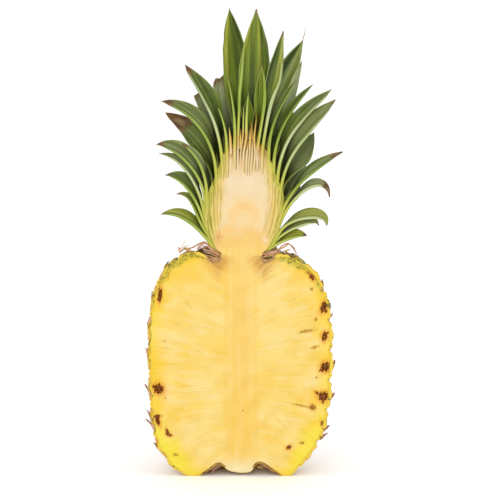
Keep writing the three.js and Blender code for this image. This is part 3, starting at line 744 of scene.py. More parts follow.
# sunk gaps, painted with shade, that end between the imported leaf bases: x and z of the foot, x and z of the
# top
heartGaps = [
    (-15, 211.5, -13.6, 226), (-11.2, 220.5, -10.6, 231), (-18.8, 197.8, -17.6, 222),
    (-24, 194.4, -22.6, 212), (-26.4, 182.8, -25.6, 200), (12.8, 225.6, 13.6, 233), (17, 224.2, 18, 232),
    (20.2, 215.4, 21, 230), (23.6, 207.2, 24.2, 222), (27.4, 201.6, 27.6, 214), (28.8, 194.8, 29, 206),
]
gapWidth = (0.15, 0.75)  # half a gap's width at its foot, and what it gains up to its top


def heartRadius(height):  # the heart's outline, from the crown's own axis
    return np.interp(height, heartLine[:, 1], heartLine[:, 0])


def fanWidth(height):  # the leaf bases keep their share of this width on their way up
    return np.interp(height, fanLine[:, 1], fanLine[:, 0])


def inGaps(x, z):  # 1 in the middle of a gap that widens from its foot to its top, 0 outside
    deepest = np.zeros(x.shape)
    for footX, footZ, topX, topZ in heartGaps:
        share = (z - footZ) / (topZ - footZ)
        middle = footX + (topX - footX) * share
        halfWidth = gapWidth[0] + gapWidth[1] * np.clip(share, 0, 1)
        inside = (1 - np.abs(x - middle) / halfWidth) * smoothStep(share, -0.02, 0.12)
        deepest = np.maximum(deepest, inside)
    return np.clip(deepest, 0, 1)


def heartPart():
    # each row is a loop: straight across the cut face, then round the back; the foot sinks into
    # the flesh's face, and the top leans back behind the young leaves
    line = np.vstack([heart["foot"], heartLine])
    length = alongLength(line)
    at = np.linspace(0, length[-1] - 0.5, heart["rows"] + 1)
    across = np.linspace(1, -1, heart["front"] + 1)[None, :]
    angle = np.linspace(np.pi, 0, heart["back"] + 1)[None, 1:-1]
    radius, height = (np.interp(at, length, line[:, k])[:, None] for k in (0, 1))
    x, z = radius * across, height + 0 * across
    q = x / fanWidth(height)
    domed = np.hypot(x / heart["domeWidth"], (height - neckHeight) / (heart["domeHeight"] - neckHeight))
    packed = smoothStep(domed, 0.95, 1.3) * (0.6 + 0.4 * ripple((x, z), 13, 23))
    lines = ripple((q * heart["fanScale"], z / 50), 1.4, 21)
    gap = inGaps(x + axisAt(height), z)
    y = heart["lineRelief"] * lines * packed + heart["gapDepth"] * gap
    y += heart["edgeDepth"] * smoothStep(np.abs(across), 0.93, 1)
    swell, wavelength, seed = heart["swell"]
    y += swell * ripple((x, z), wavelength, seed) * smoothStep(height, 156, 168)
    y += heart["set"] + heart["footDepth"] * (1 - smoothStep(height, 148.6, 153.6))
    sinks = height + 5 * ripple((x, z / 12), 6, 24)  # each gap starts at its own height
    y += heart["topSunk"] * smoothStep(sinks, 212, 232) * (1 - smoothStep(np.abs(x), 12, 16))
    tall = height + 0 * angle
    behind = np.maximum(radius * np.sin(angle), heart["backSet"])
    loops = np.concatenate([np.stack([x, y, z], -1), np.stack([radius * np.cos(angle), behind, tall], -1)], 1)
    unseen = 0 * tall
    fields = {"across": loops[..., 0].copy(), "gap": np.concatenate([gap, unseen], 1),
              "outward": np.concatenate([np.abs(across) + 0 * x, unseen + 1], 1),
              "u": np.concatenate([q * heart["fanScale"], unseen], 1), "v": loops[..., 2]}
    loops[..., 0] += axisAt(loops[..., 2])
    return tubePart(loops, fields)


heartTones = {
    **coreTones, "low": "f9dca4", "upper": "f7dfb6", "top": "f2d3a0", "streak": "e8c48e",
    "fineStreak": "fff0d2", "side": "f3d97c", "sideLine": "e2bf58", "lime": "c9c544", "limeLine": "989c22",
    "furrow": "a07c2c", "stem": "fbd591", "stemPale": "fadda4", "stemGold": "fbcd70", "cap": "fbcb6a",
    "arc": "fce6b4", "flank": "eab070", "pinkSpot": "e69f6c", "paleSpot": "fbe6c0", "paintedShadeGapEdge": "a79a2c",
    "gap": "3c3a08", "paintedShadeLow": "e6bf8a", "between": "b07a34", "paintedShadeTop": "4a3608",
}


def heartFinish():
    f = Finish("crown heart", heartTones)
    spot, x = f.spot(), f.millimetres(0)
    fan, height = f.flow()
    across = f.field("across")
    fromAxis = f.magnitude(across)
    line = f.grain(fan, height, 1.0, 40, 0.0, 3.0, 0.6)
    fine = f.grain(fan, height, 0.45, 26, 3.0, 2.0, 0.6)
    soft = f.noise(spot, 90.0, 2.0)
    mottle = f.noise(spot, 330.0, 3.0)
    f.colour = f.between(height, 178, 205, "low", "upper")
    f.lay("top", f.step(height, 203, 213))
    f.lay("streak", f.step(line, 0.5, 0.7) * f.step(height, 172, 204) * 0.3)
    f.lay("fineStreak", f.step(fine, 0.54, 0.7) * 0.3)
    # the leaf bases at the sides: cream, then yellow, then lime
    outward = f.field("outward") + (soft - 0.5) * 0.3
    side = f.step(outward + (line - 0.5) * 0.25, 0.5, 0.74)
    f.lay(f.between(line, 0.4, 0.62, "side", "sideLine"), side * 0.9)
    lime = f.step(outward + (line - 0.5) * 0.3, 0.76, 0.92) * f.step(height, 158, 176)
    f.lay(f.between(line, 0.42, 0.6, "lime", "limeLine"), lime * 0.9)
    f.lay("furrow", f.step(line, 0.56, 0.64) * f.step(outward, 0.45, 0.7) * 0.45)
    # the stem's round top, with a golden cap in it and a pale arc about it
    out, up = across / heart["domeWidth"], (height - neckHeight) / (heart["domeHeight"] - neckHeight)
    dome = out * out + up * up + (soft - 0.5) * 0.6 + (fine - 0.5) * 0.3
    stem = f.between(soft + (mottle - 0.5) * 0.5, 0.35, 0.65, "stem", "stemPale")
    f.lay(f.between(height + soft * 12, 183, 167, stem, "stemGold"), f.step(dome, 1.4, 0.6) * 0.9)
    fromCap = f.magnitude(height + soft * 6 - 190)
    f.lay("cap", f.step(fromAxis + soft * 6, 13, 5) * f.step(fromCap + mottle * 3, 8, 1.5) * 0.6)
    f.lay("arc", f.step(f.magnitude(dome - 1.15), 0.3, 0.0) * f.step(height, 166, 178) * 0.4)
    flank = f.step(f.magnitude(dome - 1.0), 0.25, 0.0) * f.step(height, 182, 168)
    f.lay("flank", flank * f.step(mottle, 0.4, 0.65) * 0.45)
    pinkSpot = f.magnitude(x + 15) + f.magnitude(height - 164.5) * 0.6 + mottle * 5
    f.lay("pinkSpot", f.step(pinkSpot, 6.5, 3) * 0.6)
    paleSpot = f.magnitude(x - 16.3) + f.magnitude(height - 162.5) * 0.7 + mottle * 5
    f.lay("paleSpot", f.step(paleSpot, 6.5, 3) * 0.7)
    f.lay(coreColour(f, x, height)[0], f.step(height + soft * 8, 166, 157))
    # painted shade in the sunk gaps: olive at their edges, nearly black inside
    gap = f.field("gap") + (fine - 0.5) * 0.3
    f.lay("paintedShadeGapEdge", f.step(gap, 0.0, 0.3) * 0.7)
    f.lay("gap", f.step(gap, 0.2, 0.6))
    # between the young leaves: painted shade, with the tall leaves' own browning bases: a little darker, then
    # brown, then nearly black
    between = f.step(fromAxis, 15, 12)
    risen = height + (soft - 0.5) * 14 + line * 6
    f.lay("paintedShadeLow", f.step(risen, 211, 218) * between * 0.6)
    f.lay("between", f.step(risen, 219, 229) * between)
    f.lay("paintedShadeTop", f.step(risen, 230, 238) * between)
    relief = line * 0.6 + fine * 0.5
    return f.surface({"Roughness": 0.46, "Normal": f.bump(relief, 0.0003, 0.35), **translucent})


makePiece("crown_core", heartPart(), heartFinish(), ["crown_heart"])
print("crown heart made")


# the leaves
leafShape = {
    "inner": 14,  # rows inside the heart, and outside it
    "outer": 56,
    "across": 12,
    "channel": 0.55,  # how far the blade's edges turn up, in radians
    "thick": 2.3,  # at the base, and at the tip
    "thin": 0.5,
    "bow": 0.36,  # the share of the way to the tip that the curve keeps its lean
    "rooted": 34,  # the root starts this far below where the leaf leaves the heart
    "lowest": 154.5,  # but not below this height
    "clear": 1.6,  # it leaves this far outside the heart's outline
    "wave": (0.35, 19),  # height and wavelength, at the blade's edges
    "ribs": (0.05, 1.1),  # height and spacing
    "torn": (3, 1.1),  # a torn end's slant, and how jagged it is
    "halvings": 24,  # the steps in which the cut face is found
}


def blade(turn, base, tip, lean, width, **more):
    # turn: degrees round the crown's axis, 0 to the right, 90 to the back, 180 to the left
    # base: how high it leaves the heart; tip: how far out and how high it ends
    # lean: degrees from upright, outwards, at the base and at the tip
    # roll: degrees that the blade's upper side turns to the cut face
    # lost: the share of its length that is missing; dry: the share of it that is brown
    # pale, limy, shaded: how grey, how yellow, how dark; tint: its cut edge, from dull 0 to pale 1, the
    # palest with a painted highlight
    # bands: stripes of painted light and shade along it, each a place from -1 to 1 across it, a width, and
    # how much brighter
    return {"turn": turn, "base": base, "tip": tip, "lean": lean, "width": width, **more}


leaves = {
    "left_01": blade(149, 157, (47, 177), (50, 96), 12, roll=8, dry=0.3, limy=0.6),
    "left_02": blade(178, 161, (56.8, 179.7), (42, 104), 15, roll=34, dry=0.05, limy=0.5, tint=0.3),
    "left_03": blade(176, 168, (47.2, 193.6), (38, 102), 9, roll=24, dry=0.1, limy=0.4),
    "left_04": blade(177, 176, (54.9, 206.3), (24, 94), 18, roll=38, dry=0.05, tint=0.5),
    "left_05": blade(178, 184, (58.9, 221), (18, 86), 12, roll=36, dry=0.05, pale=0.4, tint=0.9),
    "left_06": blade(176, 191, (61, 226.8), (10, 98), 18, roll=44, dry=0.1, pale=0.3, tint=0.4),
    "left_07": blade(179, 196, (43.4, 228), (4, 54), 10, roll=34, dry=0.1, pale=0.7),
    "left_08": blade(148, 200, (65.8, 248.7), (0, 66), 17, roll=42, dry=0.3, tint=0.15),
    "left_09": blade(178, 211, (57, 256.2), (6, 78), 20, roll=42, dry=0.12, pale=0.2),
    "left_10": blade(143, 210, (54, 283), (5, 34), 18, roll=14, lost=0.3, dry=0.02, pale=0.6),
    "left_11": blade(178, 221, (41, 280.8), (7, 31), 21, roll=52, dry=0.1, tint=0.95,
                     bands=[(-0.3, 0.2, 0.5), (0.4, 0.3, -0.5)]),
    "left_12": blade(179, 226, (18.9, 251.8), (2, 24), 8, roll=10, tint=0.6),
    "left_13": blade(134, 220, (31, 301), (5, 10), 16, roll=12, lost=0.35, dry=0.03, pale=0.9),
    "left_14": blade(179, 229.5, (12, 271.5), (-2, 11), 8),
    "right_01": blade(4, 157, (43.9, 165.5), (61, 104), 14, roll=34, dry=0.1, pale=0.2, limy=0.9),
    "right_02": blade(6, 161.5, (51.7, 171.8), (43, 150), 15, roll=34, dry=0.05, pale=0.8, limy=0.4,
                      tint=0.9),
    "right_03": blade(3, 168, (57.1, 172.1), (30, 172), 16, roll=34, dry=0.03, pale=0.5, limy=0.55),
    "right_04": blade(32, 176, (59, 207), (28, 56), 12, roll=14, lost=0.4, dry=0.02, pale=1),
    "right_05": blade(2, 182, (57.3, 191.5), (27, 168), 13, roll=32, dry=0.25, bow=0.55, pale=0.6, tint=0.95),
    "right_06": blade(2, 188, (65.4, 222.5), (26, 58), 15, roll=32, dry=0.15, pale=0.3),
    "right_07": blade(32, 195, (55.6, 235), (14, 24), 23, roll=24, pale=0.3),
    "right_08": blade(4, 201, (60.6, 257.5), (12, 44), 20, roll=42, dry=0.03, pale=0.3, tint=0.85),
    "right_09": blade(2, 207, (57.9, 264.2), (6, 50), 15.6, roll=52, dry=0.03, tint=0.95),
    "right_10": blade(1, 215, (45, 267.6), (3, 40), 14, roll=32, tint=0.2),
    "right_11": blade(1, 223, (33.7, 270.5), (2, 29), 11, roll=26, tint=0.15),
    "right_12": blade(25.6, 213, (42.4, 284), (18, 20), 9, roll=46, dry=0.04, pale=0.8),
    "right_13": blade(50.6, 222, (62.9, 299.4), (16, 38), 18.5, roll=36,
                      bands=[(-0.1, 0.12, 0.7), (0.5, 0.35, -0.9), (-0.7, 0.3, 0.1)]),
    "right_14": blade(5, 227, (25.1, 303.4), (9, 10), 11.4, roll=76, shaded=0.6,
                      bands=[(-0.5, 0.45, 0.8), (0.8, 0.3, -0.9)]),
    "middle_01": blade(107, 227, (40, 321), (8, 24), 19, roll=10, shaded=0.7,
                       bands=[(-0.72, 0.16, 1.3), (-0.15, 0.24, -0.6), (0.3, 0.1, 0.3), (0.75, 0.3, -0.8)]),
    "middle_02": blade(66, 228, (18.2, 319), (6, 4), 22, roll=22, shaded=0.8,
                       bands=[(0.95, 0.2, 0.9), (0.44, 0.2, 0.3), (0.05, 0.12, -0.5), (-0.3, 0.14, 0.8),
                              (-0.8, 0.2, -0.3)]),
    "middle_03": blade(11, 229, (10.9, 280.2), (10, -3), 12.4, roll=42, shaded=1,
                       bands=[(-0.6, 0.3, 0.7), (0.6, 0.3, -0.4)]),
    "middle_04": blade(76, 229.6, (7, 261), (2, -2), 8, shaded=1),
}
# the crown's back, in rows from the lowest up: the turns, one leaf for each, and the rest as above
backRows = [
    ((60, 92, 122), 158, (46, 178), (50, 112), 14, 0.12),
    ((76, 108), 165, (55, 197), (32, 104), 16, 0.08),
    ((58, 92, 126), 173, (58, 222), (20, 84), 17, 0.06),
    ((74, 108), 182, (56, 248), (11, 54), 18, 0.04),
    ((60, 92), 191, (49, 270), (7, 30), 17, 0.015),
    ((74, 109), 200, (38, 287), (5, 20), 15, 0.015),
    ((92,), 208, (30, 286), (4, 14), 17, 0.015),
]
backLeaves = [blade(turn, *row, dry=dry) for turns, *row, dry in backRows for turn in turns]
leaves.update({"back_%02d" % (k + 1): leaf for k, leaf in enumerate(backLeaves)})
# blades behind the others, where light would show between them
behindLeaves = [
    blade(135, 180, (54, 212), (20, 88), 18, roll=10),
    blade(40, 183, (56, 211), (24, 84), 16, roll=14, pale=0.4),
    blade(45, 203, (50, 250), (20, 50), 16, roll=10),
]
leafSeeds = {"leaves": 100, "behind": 160, "young": 60}


def leafSpine(leaf):
    # radius and height along the leaf: first up inside the heart on its own fan line, then out
    # in a bow to the tip; with the distance from the exit, and the share of the blade
    base = leaf["base"]
    exitPoint = np.array([heartRadius(base) + leafShape["clear"], base])
    share = exitPoint[0] / fanWidth(base)
    lowest = max(leafShape["lowest"], base - leafShape["rooted"])
    start = np.array([share * fanWidth(lowest), lowest])
    lean = [np.array([math.sin(math.radians(a)), math.cos(math.radians(a))]) for a in leaf["lean"]]
    tip = np.array(leaf["tip"], float)
    up = np.array([share * (fanWidth(lowest + 2) - fanWidth(lowest)), 2.0])
    up /= np.linalg.norm(up)
    root = np.linalg.norm(exitPoint - start) * leafShape["bow"]
    bow = np.linalg.norm(tip - exitPoint) * leaf.get("bow", leafShape["bow"])
    risen = np.linspace(0, 1, leafShape["inner"] + 1)[:-1]
    inside = bezier(start, start + up * root, exitPoint - lean[0] * root, exitPoint, risen)
    along = np.linspace(0, 1 - leaf.get("lost", 0), leafShape["outer"] + 1)
    outside = bezier(exitPoint, exitPoint + lean[0] * bow, tip - lean[1] * bow, tip, along)
    line = np.vstack([inside, outside])
    length = alongLength(line)
    return line, length - length[len(inside)], np.r_[np.zeros(len(inside)), along]


def leafPart(leaf, seed):
    # a channelled blade carried along the spine: its middle follows the spine, its edges turn up
    # by the channel's angle, and it ends where it meets the cut face
    line, fromExit, share = leafSpine(leaf)
    draw = np.random.default_rng(seed)
    lost = leaf.get("lost", 0)
    turn = math.radians(leaf["turn"])
    behind = 1 if leaf["turn"] > 90 else -1
    out = np.array([math.cos(turn), math.sin(turn), 0.0])
    aside = np.array([math.sin(turn), -math.cos(turn), 0.0]) * behind
    up = np.array([0.0, 0.0, 1.0])
    tangent = np.gradient(line, axis=0)
    tangent /= np.linalg.norm(tangent, axis=1)[:, None]
    centre = line[:, :1] * out + line[:, 1:] * up
    forward = tangent[:, :1] * out + tangent[:, 1:] * up
    inward = -tangent[:, 1:] * out + tangent[:, :1] * up
    roll = math.radians(leaf.get("roll", 0)) * smoothStep(share, 0.05, 0.6)[:, None]
    sideways = aside * np.cos(roll) + inward * np.sin(roll)
    face = inward * np.cos(roll) - aside * np.sin(roll)
    pointed = 1 - np.clip((share - 0.5) / 0.5, 0, 1) ** 2
    narrowest = 0.2 if lost else 0.02
    half = leaf["width"] / 2 * (0.5 + 0.5 * smoothStep(share, 0, 0.4)) * np.maximum(pointed, narrowest)
    wrap = half / np.maximum(line[:, 0], 6)
    bend = wrap + (leafShape["channel"] - wrap) * smoothStep(share, 0.25, 0.8)
    thick = leafShape["thick"] + (leafShape["thin"] - leafShape["thick"]) * share
    thick = thick * (0.1 + 0.9 * smoothStep(fromExit, fromExit[0], fromExit[0] * 0.3))
    half, bend, thick = half[:, None], bend[:, None], thick[:, None]

    def spread(t, offset):  # a point of the blade, t of its half width from the spine
        angle = bend * t
        over = half * np.sin(angle) / bend - offset * np.sin(angle)
        above = half * (1 - np.cos(angle)) / bend + offset * np.cos(angle)
        return centre[:, None] + over[..., None] * sideways[:, None] + above[..., None] * face[:, None]

    inside, outside = np.ones((len(line), 1)), -np.ones((len(line), 1))
    for _ in range(leafShape["halvings"]):  # to find where each row meets the cut face
        middle = (inside + outside) / 2
        below = spread(middle, 0 * middle)[..., 1] < 0
        outside, inside = np.where(below, middle, outside), np.where(below, inside, middle)
    cut = spread(0 * inside - 1, 0 * inside)[..., 1] < 0
    first = np.where(cut, inside, -1.0)
    t = first + (1 - first) * np.linspace(0, 1, leafShape["across"] + 1)
    fromExit, share = fromExit[:, None], share[:, None]
    wave, wavelength = leafShape["wave"]
    wave = wave * ripple((fromExit, t * 3), wavelength, seed) * np.abs(t) ** 2
    wave = wave * smoothStep(share, 0.1, 0.4)
    offset = thick / 2 * (1 - 0.55 * t * t)
    ribs, spacing = leafShape["ribs"]
    ribs = ribs * np.cos(t * half * 2 * np.pi / spacing + draw.uniform(0, 6)) * smoothStep(share, 0, 0.2)
    top, bottom = spread(t, wave + offset + ribs), spread(t, wave - offset)
    if lost:  # torn off: the end is slanted and jagged
        slant, jagged = leafShape["torn"]
        shift = slant * t + jagged * ripple((3 * t, 0 * t), 1.2, seed)
        shift = smoothStep(share, share[-1] - 0.12, share[-1]) * shift
        top, bottom = (edge + shift[..., None] * forward[:, None] for edge in (top, bottom))
    loops = thereAndBack(top, bottom)
    # its root starts sunk in the heart, and comes out just proud of the cut face
    sunk = smoothStep(fromExit, fromExit[0] + 2, fromExit[0] * 0.45)
    proud = np.where(share > 0, 0.0, 0.9 - 1.15 * sunk)
    proud = np.where(np.abs(loops[..., 1]) < 2.5, proud, 0.0)
    loops[..., 1] = np.maximum(loops[..., 1], 0) + proud
    loops[..., 0] += axisAt(loops[..., 2])
    fromAxis = np.abs(loops[..., 0] - axisAt(loops[..., 2]))
    # painted light and shade in bands along the blade: by default a lit band on one side and a shaded one on
    # the other
    plain = [(draw.uniform(-0.5, 0.3), 0.16, 0.45), (draw.uniform(0.4, 0.9), 0.3, -0.5)]
    paintedLight = sum(strength * bell(t - at, width) for at, width, strength in leaf.get("bands", plain))
    return tubePart(loops, {
        "u": thereAndBack(t * half, t * half + 40), "v": fromExit + seed * 37.0, "fromExit": fromExit,
        "share": share, "frontEdge": thereAndBack((t - first) * half),
        "rearEdge": thereAndBack((1 - t) * half), "cut": cut, "under": np.repeat([0, 1], t.shape[1]),
        "dry": share - (1 - lost) + leaf.get("dry", 0.015),
        "paintedLight": thereAndBack(paintedLight * smoothStep(share, 0.05, 0.3)),
        "outward": fromAxis / np.maximum(heartRadius(loops[..., 2]), 4),
        "tint": leaf.get("tint", draw.uniform()), "pale": leaf.get("pale", 0),
        "shaded": leaf.get("shaded", 0), "limy": leaf.get("limy", 0),
    })


leafTones = {
    # the upper side, and the same of the tall leaves
    "green": "5b6d28", "greenPale": "85924a", "bloomAndSheen": "84906a", "lightStripe": "a4ac48",
    "darkStripe": "44541c", "paintedLight": "a8b06c", "paintedShade": "33430f", "tallGreen": "485a06",
    "tallPale": "70831c", "tallDarkStripe": "344408", "tallPaintedLight": "a8aa40", "tallPaintedShade": "283604",
    "grey": "86925e", "greyPale": "b6bb90", "limy": "8b9628", "limyPale": "cfc84e",
    # painted shade between the leaves, and the under side
    "deep": "222c06", "paintedShadeBrown": "3f2c06", "inner": "5f6c20", "paintedShadeInnerBrown": "86761c",
    "under": "8f9c56", "underPale": "b8bf86", "underFoot": "a3ab42", "underFootPale": "cccc62",
    # the root, and the rear edge
    "root": "aab028", "rootPale": "e2df74", "rootYellow": "dcc450", "rootYellowPale": "f0e184",
    "rootCream": "ecd07a", "rootCreamPale": "f6e4a4", "rootYoung": "f4dba8", "margin": "b9c466",
    # the cut edge, from the tip down to the root, and its borders
    "lime": "8fae38", "limePale": "cfdf74", "dullLime": "6a8a26", "dullLimePale": "93b040",
    "paintedEdgeHighlight": "eef2c4", "nearBase": "b4ba36", "nearBasePale": "e2e47a", "dullBase": "a2b03a",
    "orange": "d08a30", "orangePale": "eebf62", "warm": "d9d04e", "warmOrange": "ecc25c",
    "lowest": "f0cf86", "lowestPale": "f9e4b8", "border": "56761a", "lowBorder": "b98a44",
    "lowBorderGreen": "87861a", "rim": "35450d",
    # the dry tip
    "brown": "74542e", "brownPale": "a78c60", "brownStripe": "4a3318",
}


def leafFinish():
    f = Finish("leaf", leafTones)
    across, along = f.flow()
    fromExit, share, front, rear = map(f.field, ("fromExit", "share", "frontEdge", "rearEdge"))
    cut, under, shaded, limy, tint = map(f.field, ("cut", "under", "shaded", "limy", "tint"))
    stripe = f.grain(across, along, 1.3, 80, 0.0, 3.0, 0.6)
    band = f.grain(across, along, 4.2, 130, 7.0, 1.0)
    vein = f.grain(across, along, 0.32, 45, 5.0, 1.0)
    patch = f.grain(across, along, 9, 16, 9.0, 2.0)
    fine = f.noise(f.spot(), 1800.0, 2.0)

    def striped(plain, pale, low=0.42, high=0.6):
        return f.between(stripe, low, high, plain, pale)

    def veined(plain, pale):
        return f.between(vein, 0.35, 0.65, plain, pale)

    # the upper side: dark and mid green, light stripes, a grey bloom with painted sheen, and bands of painted
    # light and shade along the blade
    tall = f.step(shaded, 0.5, 0.65)
    paintedLight = f.field("paintedLight") * (1 - tall * f.step(share, 0.75, 0.35) * 0.7) + (band - 0.5) * 0.5
    f.colour = f.mix(tall, "green", "tallGreen")
    f.lay(f.mix(tall, "greenPale", "tallPale"), f.step(band, 0.38, 0.62))
    # grey patches: the leaves' own bloom, with a painted sheen
    f.lay("bloomAndSheen", f.step(patch, 0.42, 0.66) * (0.5 - tall * 0.45))
    f.lay("lightStripe", f.step(stripe, 0.52, 0.66) * 0.5)
    f.lay(f.mix(tall, "darkStripe", "tallDarkStripe"), f.step(stripe, 0.46, 0.32) * 0.5)
    f.lay(f.mix(tall, "paintedLight", "tallPaintedLight"), f.step(paintedLight, 0.1, 1.0))
    f.lay(f.mix(tall, "paintedShade", "tallPaintedShade"), f.step(paintedLight, -0.1, -0.9))
    f.lay(striped("grey", "greyPale", 0.35, 0.65), f.field("pale"))
    f.lay(striped("limy", "limyPale", 0.38, 0.62), limy)
    # towards the heart, painted shade: darker between the leaves, brown between the innermost
    deep = f.between(shaded, 0.85, 1.0, "deep", "paintedShadeBrown")
    inner = f.mix(f.step(stripe, 0.5, 0.66) * 0.5, deep, f.mix(shaded, "inner", "paintedShadeInnerBrown"))
    f.lay(inner, f.step(share + patch * 0.2, 0.62, 0.26) * (0.9 - limy * 0.8))
    pale, foot = striped("under", "underPale", 0.4, 0.65), striped("underFoot", "underFootPale", 0.4, 0.6)
    f.lay(f.mix(f.step(fromExit + patch * 16, 34, 8) * 0.8, pale, foot), under)
    # the root: lime at the heart's sides, then yellow, then cream
    outward = f.field("outward") + (patch - 0.5) * 0.3 + fromExit * 0.008
    cream = f.between(shaded, 0.5, 0.9, striped("rootCream", "rootCreamPale"), "rootYoung")
    root = striped("root", "rootPale")
    root = f.between(outward, 0.98, 0.78, root, striped("rootYellow", "rootYellowPale"))
    f.lay(f.between(outward, 0.76, 0.5, root, cream), f.step(fromExit + patch * 10 - shaded * 4, 12, 0))
    f.lay("margin", f.step(rear + fine * 0.3, 0.9, 0.35) * f.step(fromExit, 0, 20) * 0.6)
    # the cut edge
    dull = f.step(tint, 0.45, 0.1)
    lime = f.mix(dull * 0.75, veined("lime", "limePale"), veined("dullLime", "dullLimePale"))
    # painted highlight: near-white cut edges on the leaves with the highest tint
    lime = f.mix(f.step(tint, 0.7, 0.95) * 0.7, lime, "paintedEdgeHighlight")
    nearBase = veined("nearBase", "nearBasePale")
    nearBase = f.between(shaded, 1.2, 2.2, nearBase, veined("orange", "orangePale"))
    nearBase = f.mix(dull * (1 - shaded) * 0.6, nearBase, "dullBase")
    edgeTone = f.between(fromExit, 2, 22, nearBase, lime)
    edgeTone = f.between(fromExit, 4, -4, edgeTone, f.mix(shaded, "warm", "warmOrange"))
    lowest = f.between(vein, 0.4, 0.6, "lowest", "lowestPale")
    width = 1.05 + (band - 0.5) * 2.4 + tint * 0.3
    edge = f.step(front + fine * 0.5 - width, 0.5, -0.3) * (cut * 0.75 + 0.25)
    edge = edge * (1 - f.step(fromExit, 24, 60) * 0.45)
    edge = edge * f.maths("MAXIMUM", f.step(fromExit, -10, 2), f.step(shaded, 1.0, 1.1))
    f.lay(f.between(fromExit, -4, -16, edgeTone, lowest), edge * 0.95)
    # the cut's borders are darker than its middle
    border = f.step(f.magnitude(under - 0.5), 0.22, 0.48) * f.step(front, 0.5, 0.1) * cut
    low = f.between(outward, 0.7, 0.95, "lowBorder", "lowBorderGreen")
    f.lay(f.between(fromExit, 8, -6, "border", low), border * 0.55)
    rim = f.step(front - width, 0.1, 0.6) * f.step(front - width, 2.0, 0.9) * cut * f.step(fromExit, 4, 20)
    f.lay("rim", rim * 0.45)
    brown = f.between(patch, 0.4, 0.6, "brown", "brownPale")
    brown = f.mix(f.step(stripe, 0.45, 0.6) * 0.7, brown, "brownStripe")
    f.lay(brown, f.step(f.field("dry") + (patch - 0.5) * 0.16 + (stripe - 0.5) * 0.1, -0.05, 0.03))
    return f.surface({
        "Roughness": f.step(stripe, 0.3, 0.7) * 0.15 + 0.36, "IOR": 1.45, "Specular IOR Level": 0.14,
        "Normal": f.bump(stripe * 0.6 + vein * 0.5, 0.0003, 0.6),
    })


leafMaterial = leafFinish()
for k, (name, leaf) in enumerate(leaves.items()):
    part = leafPart(leaf, leafSeeds["leaves"] + k)
    makePiece("blade_" + name, part, leafMaterial, ["leaf_" + name])
behindParts = [leafPart(leaf, leafSeeds["behind"] + k) for k, leaf in enumerate(behindLeaves)]
makePiece("behind_leaves", joinParts(behindParts), leafMaterial)
print(len(leaves), "leaves made, and", len(behindLeaves), "behind them")


# the youngest leaves, cut open in front of the tall ones
youngShape = {
    "rows": 50,
    "across": 5,
    "curveSteps": 200,
    "depth": (4.5, 0.3),  # how far its flanks run back, from its foot to its tip
    "leansBack": (240, 290),  # from and to these heights
    "exit": 236,  # its colours count from this height, and their share over this reach
    "reach": 60,
}
# how orange, how far it is set back, how far it leans back with the leaf behind it, and its edges:
# a height, and the left and right edge there
youngLeaves = [
    (0.1, 0, 0, [(203, -8.6, -6.2), (214, -8.2, -6), (221, -7.6, -5.8), (231, -8, -6.3), (239, -8.2, -7.6)]),
    (0.3, 0, 0, [(203, -5.7, -3.3), (214, -5.4, -3.2), (221, -5.2, -3.4), (229, -4.8, -3.5),
                 (236, -4.4, -3.8)]),
    (0, 0, 7, [(203, -3, -1.2), (214, -2.9, -1.2), (221, -2.7, -1.4), (231, -2.4, -1), (241.5, -2.4, -0.6),
                 (249, -2.1, -0.2), (262, -2.1, 0.4), (272.4, -1, 1.5), (282.7, 0.1, 2.2), (293, 1.4, 2.9),
                 (298.6, 2.5, 3.1)]),
    (0.15, 0, 0, [(205, -1, 0.3), (214, -0.9, 0.3), (221, -0.7, 0.4), (231, 0.7, 1.7), (236, 1, 2.1),
                  (241.5, 1.1, 2.1), (247, 1.5, 2.3), (253.5, 1.3, 1.6)]),
    (0.1, 0, 0, [(205, 0.5, 2.4), (214, 0.7, 2.5), (221, 1, 2.7), (231, 2.7, 4.4), (241.5, 2.8, 4.7),
                 (250, 3.5, 4.8), (257, 4.3, 5.2), (263, 5.1, 5.4)]),
    (0.8, 0, 0, [(205, 2.7, 4.3), (214, 3, 4.5), (221, 3.4, 4.9), (227, 4.6, 5.2), (230, 5, 5.2)]),
    (0.8, 0, 0, [(207, 4.6, 5.6), (214, 4.9, 5.9), (221, 5.4, 6.4), (226, 5.4, 6.8), (231, 5.5, 6.9),
                 (239, 6.3, 6.6)]),
    (1, 0, 0, [(206, 5.9, 7.4), (214, 6.3, 7.9), (221, 6.8, 8.3), (226, 7.2, 8.2), (230, 7.5, 7.8)]),
    (0.8, 0, 0, [(206, 7.8, 9.4), (214, 8.2, 9.9), (221, 8.8, 10.4), (231, 8.3, 9.7), (236, 8.8, 10),
                 (242, 9.7, 10.6), (247, 10.4, 10.8)]),
    (0.5, 0, 0, [(206, 9.8, 11.9), (214, 10.3, 12.4), (221, 11, 12.8), (228, 11.2, 12.4), (233, 11.3, 11.6)]),
    (0.9, 0, 0, [(224, -0.9, 0.2), (229, -0.8, 0.4), (234, -0.3, 0.2), (238, -0.2, 0)]),
    (1, 1.6, 0, [(224, 6.4, 7.4), (230, 6.9, 8.2), (237, 6.9, 7.9), (243, 6.6, 6.9)]),
]


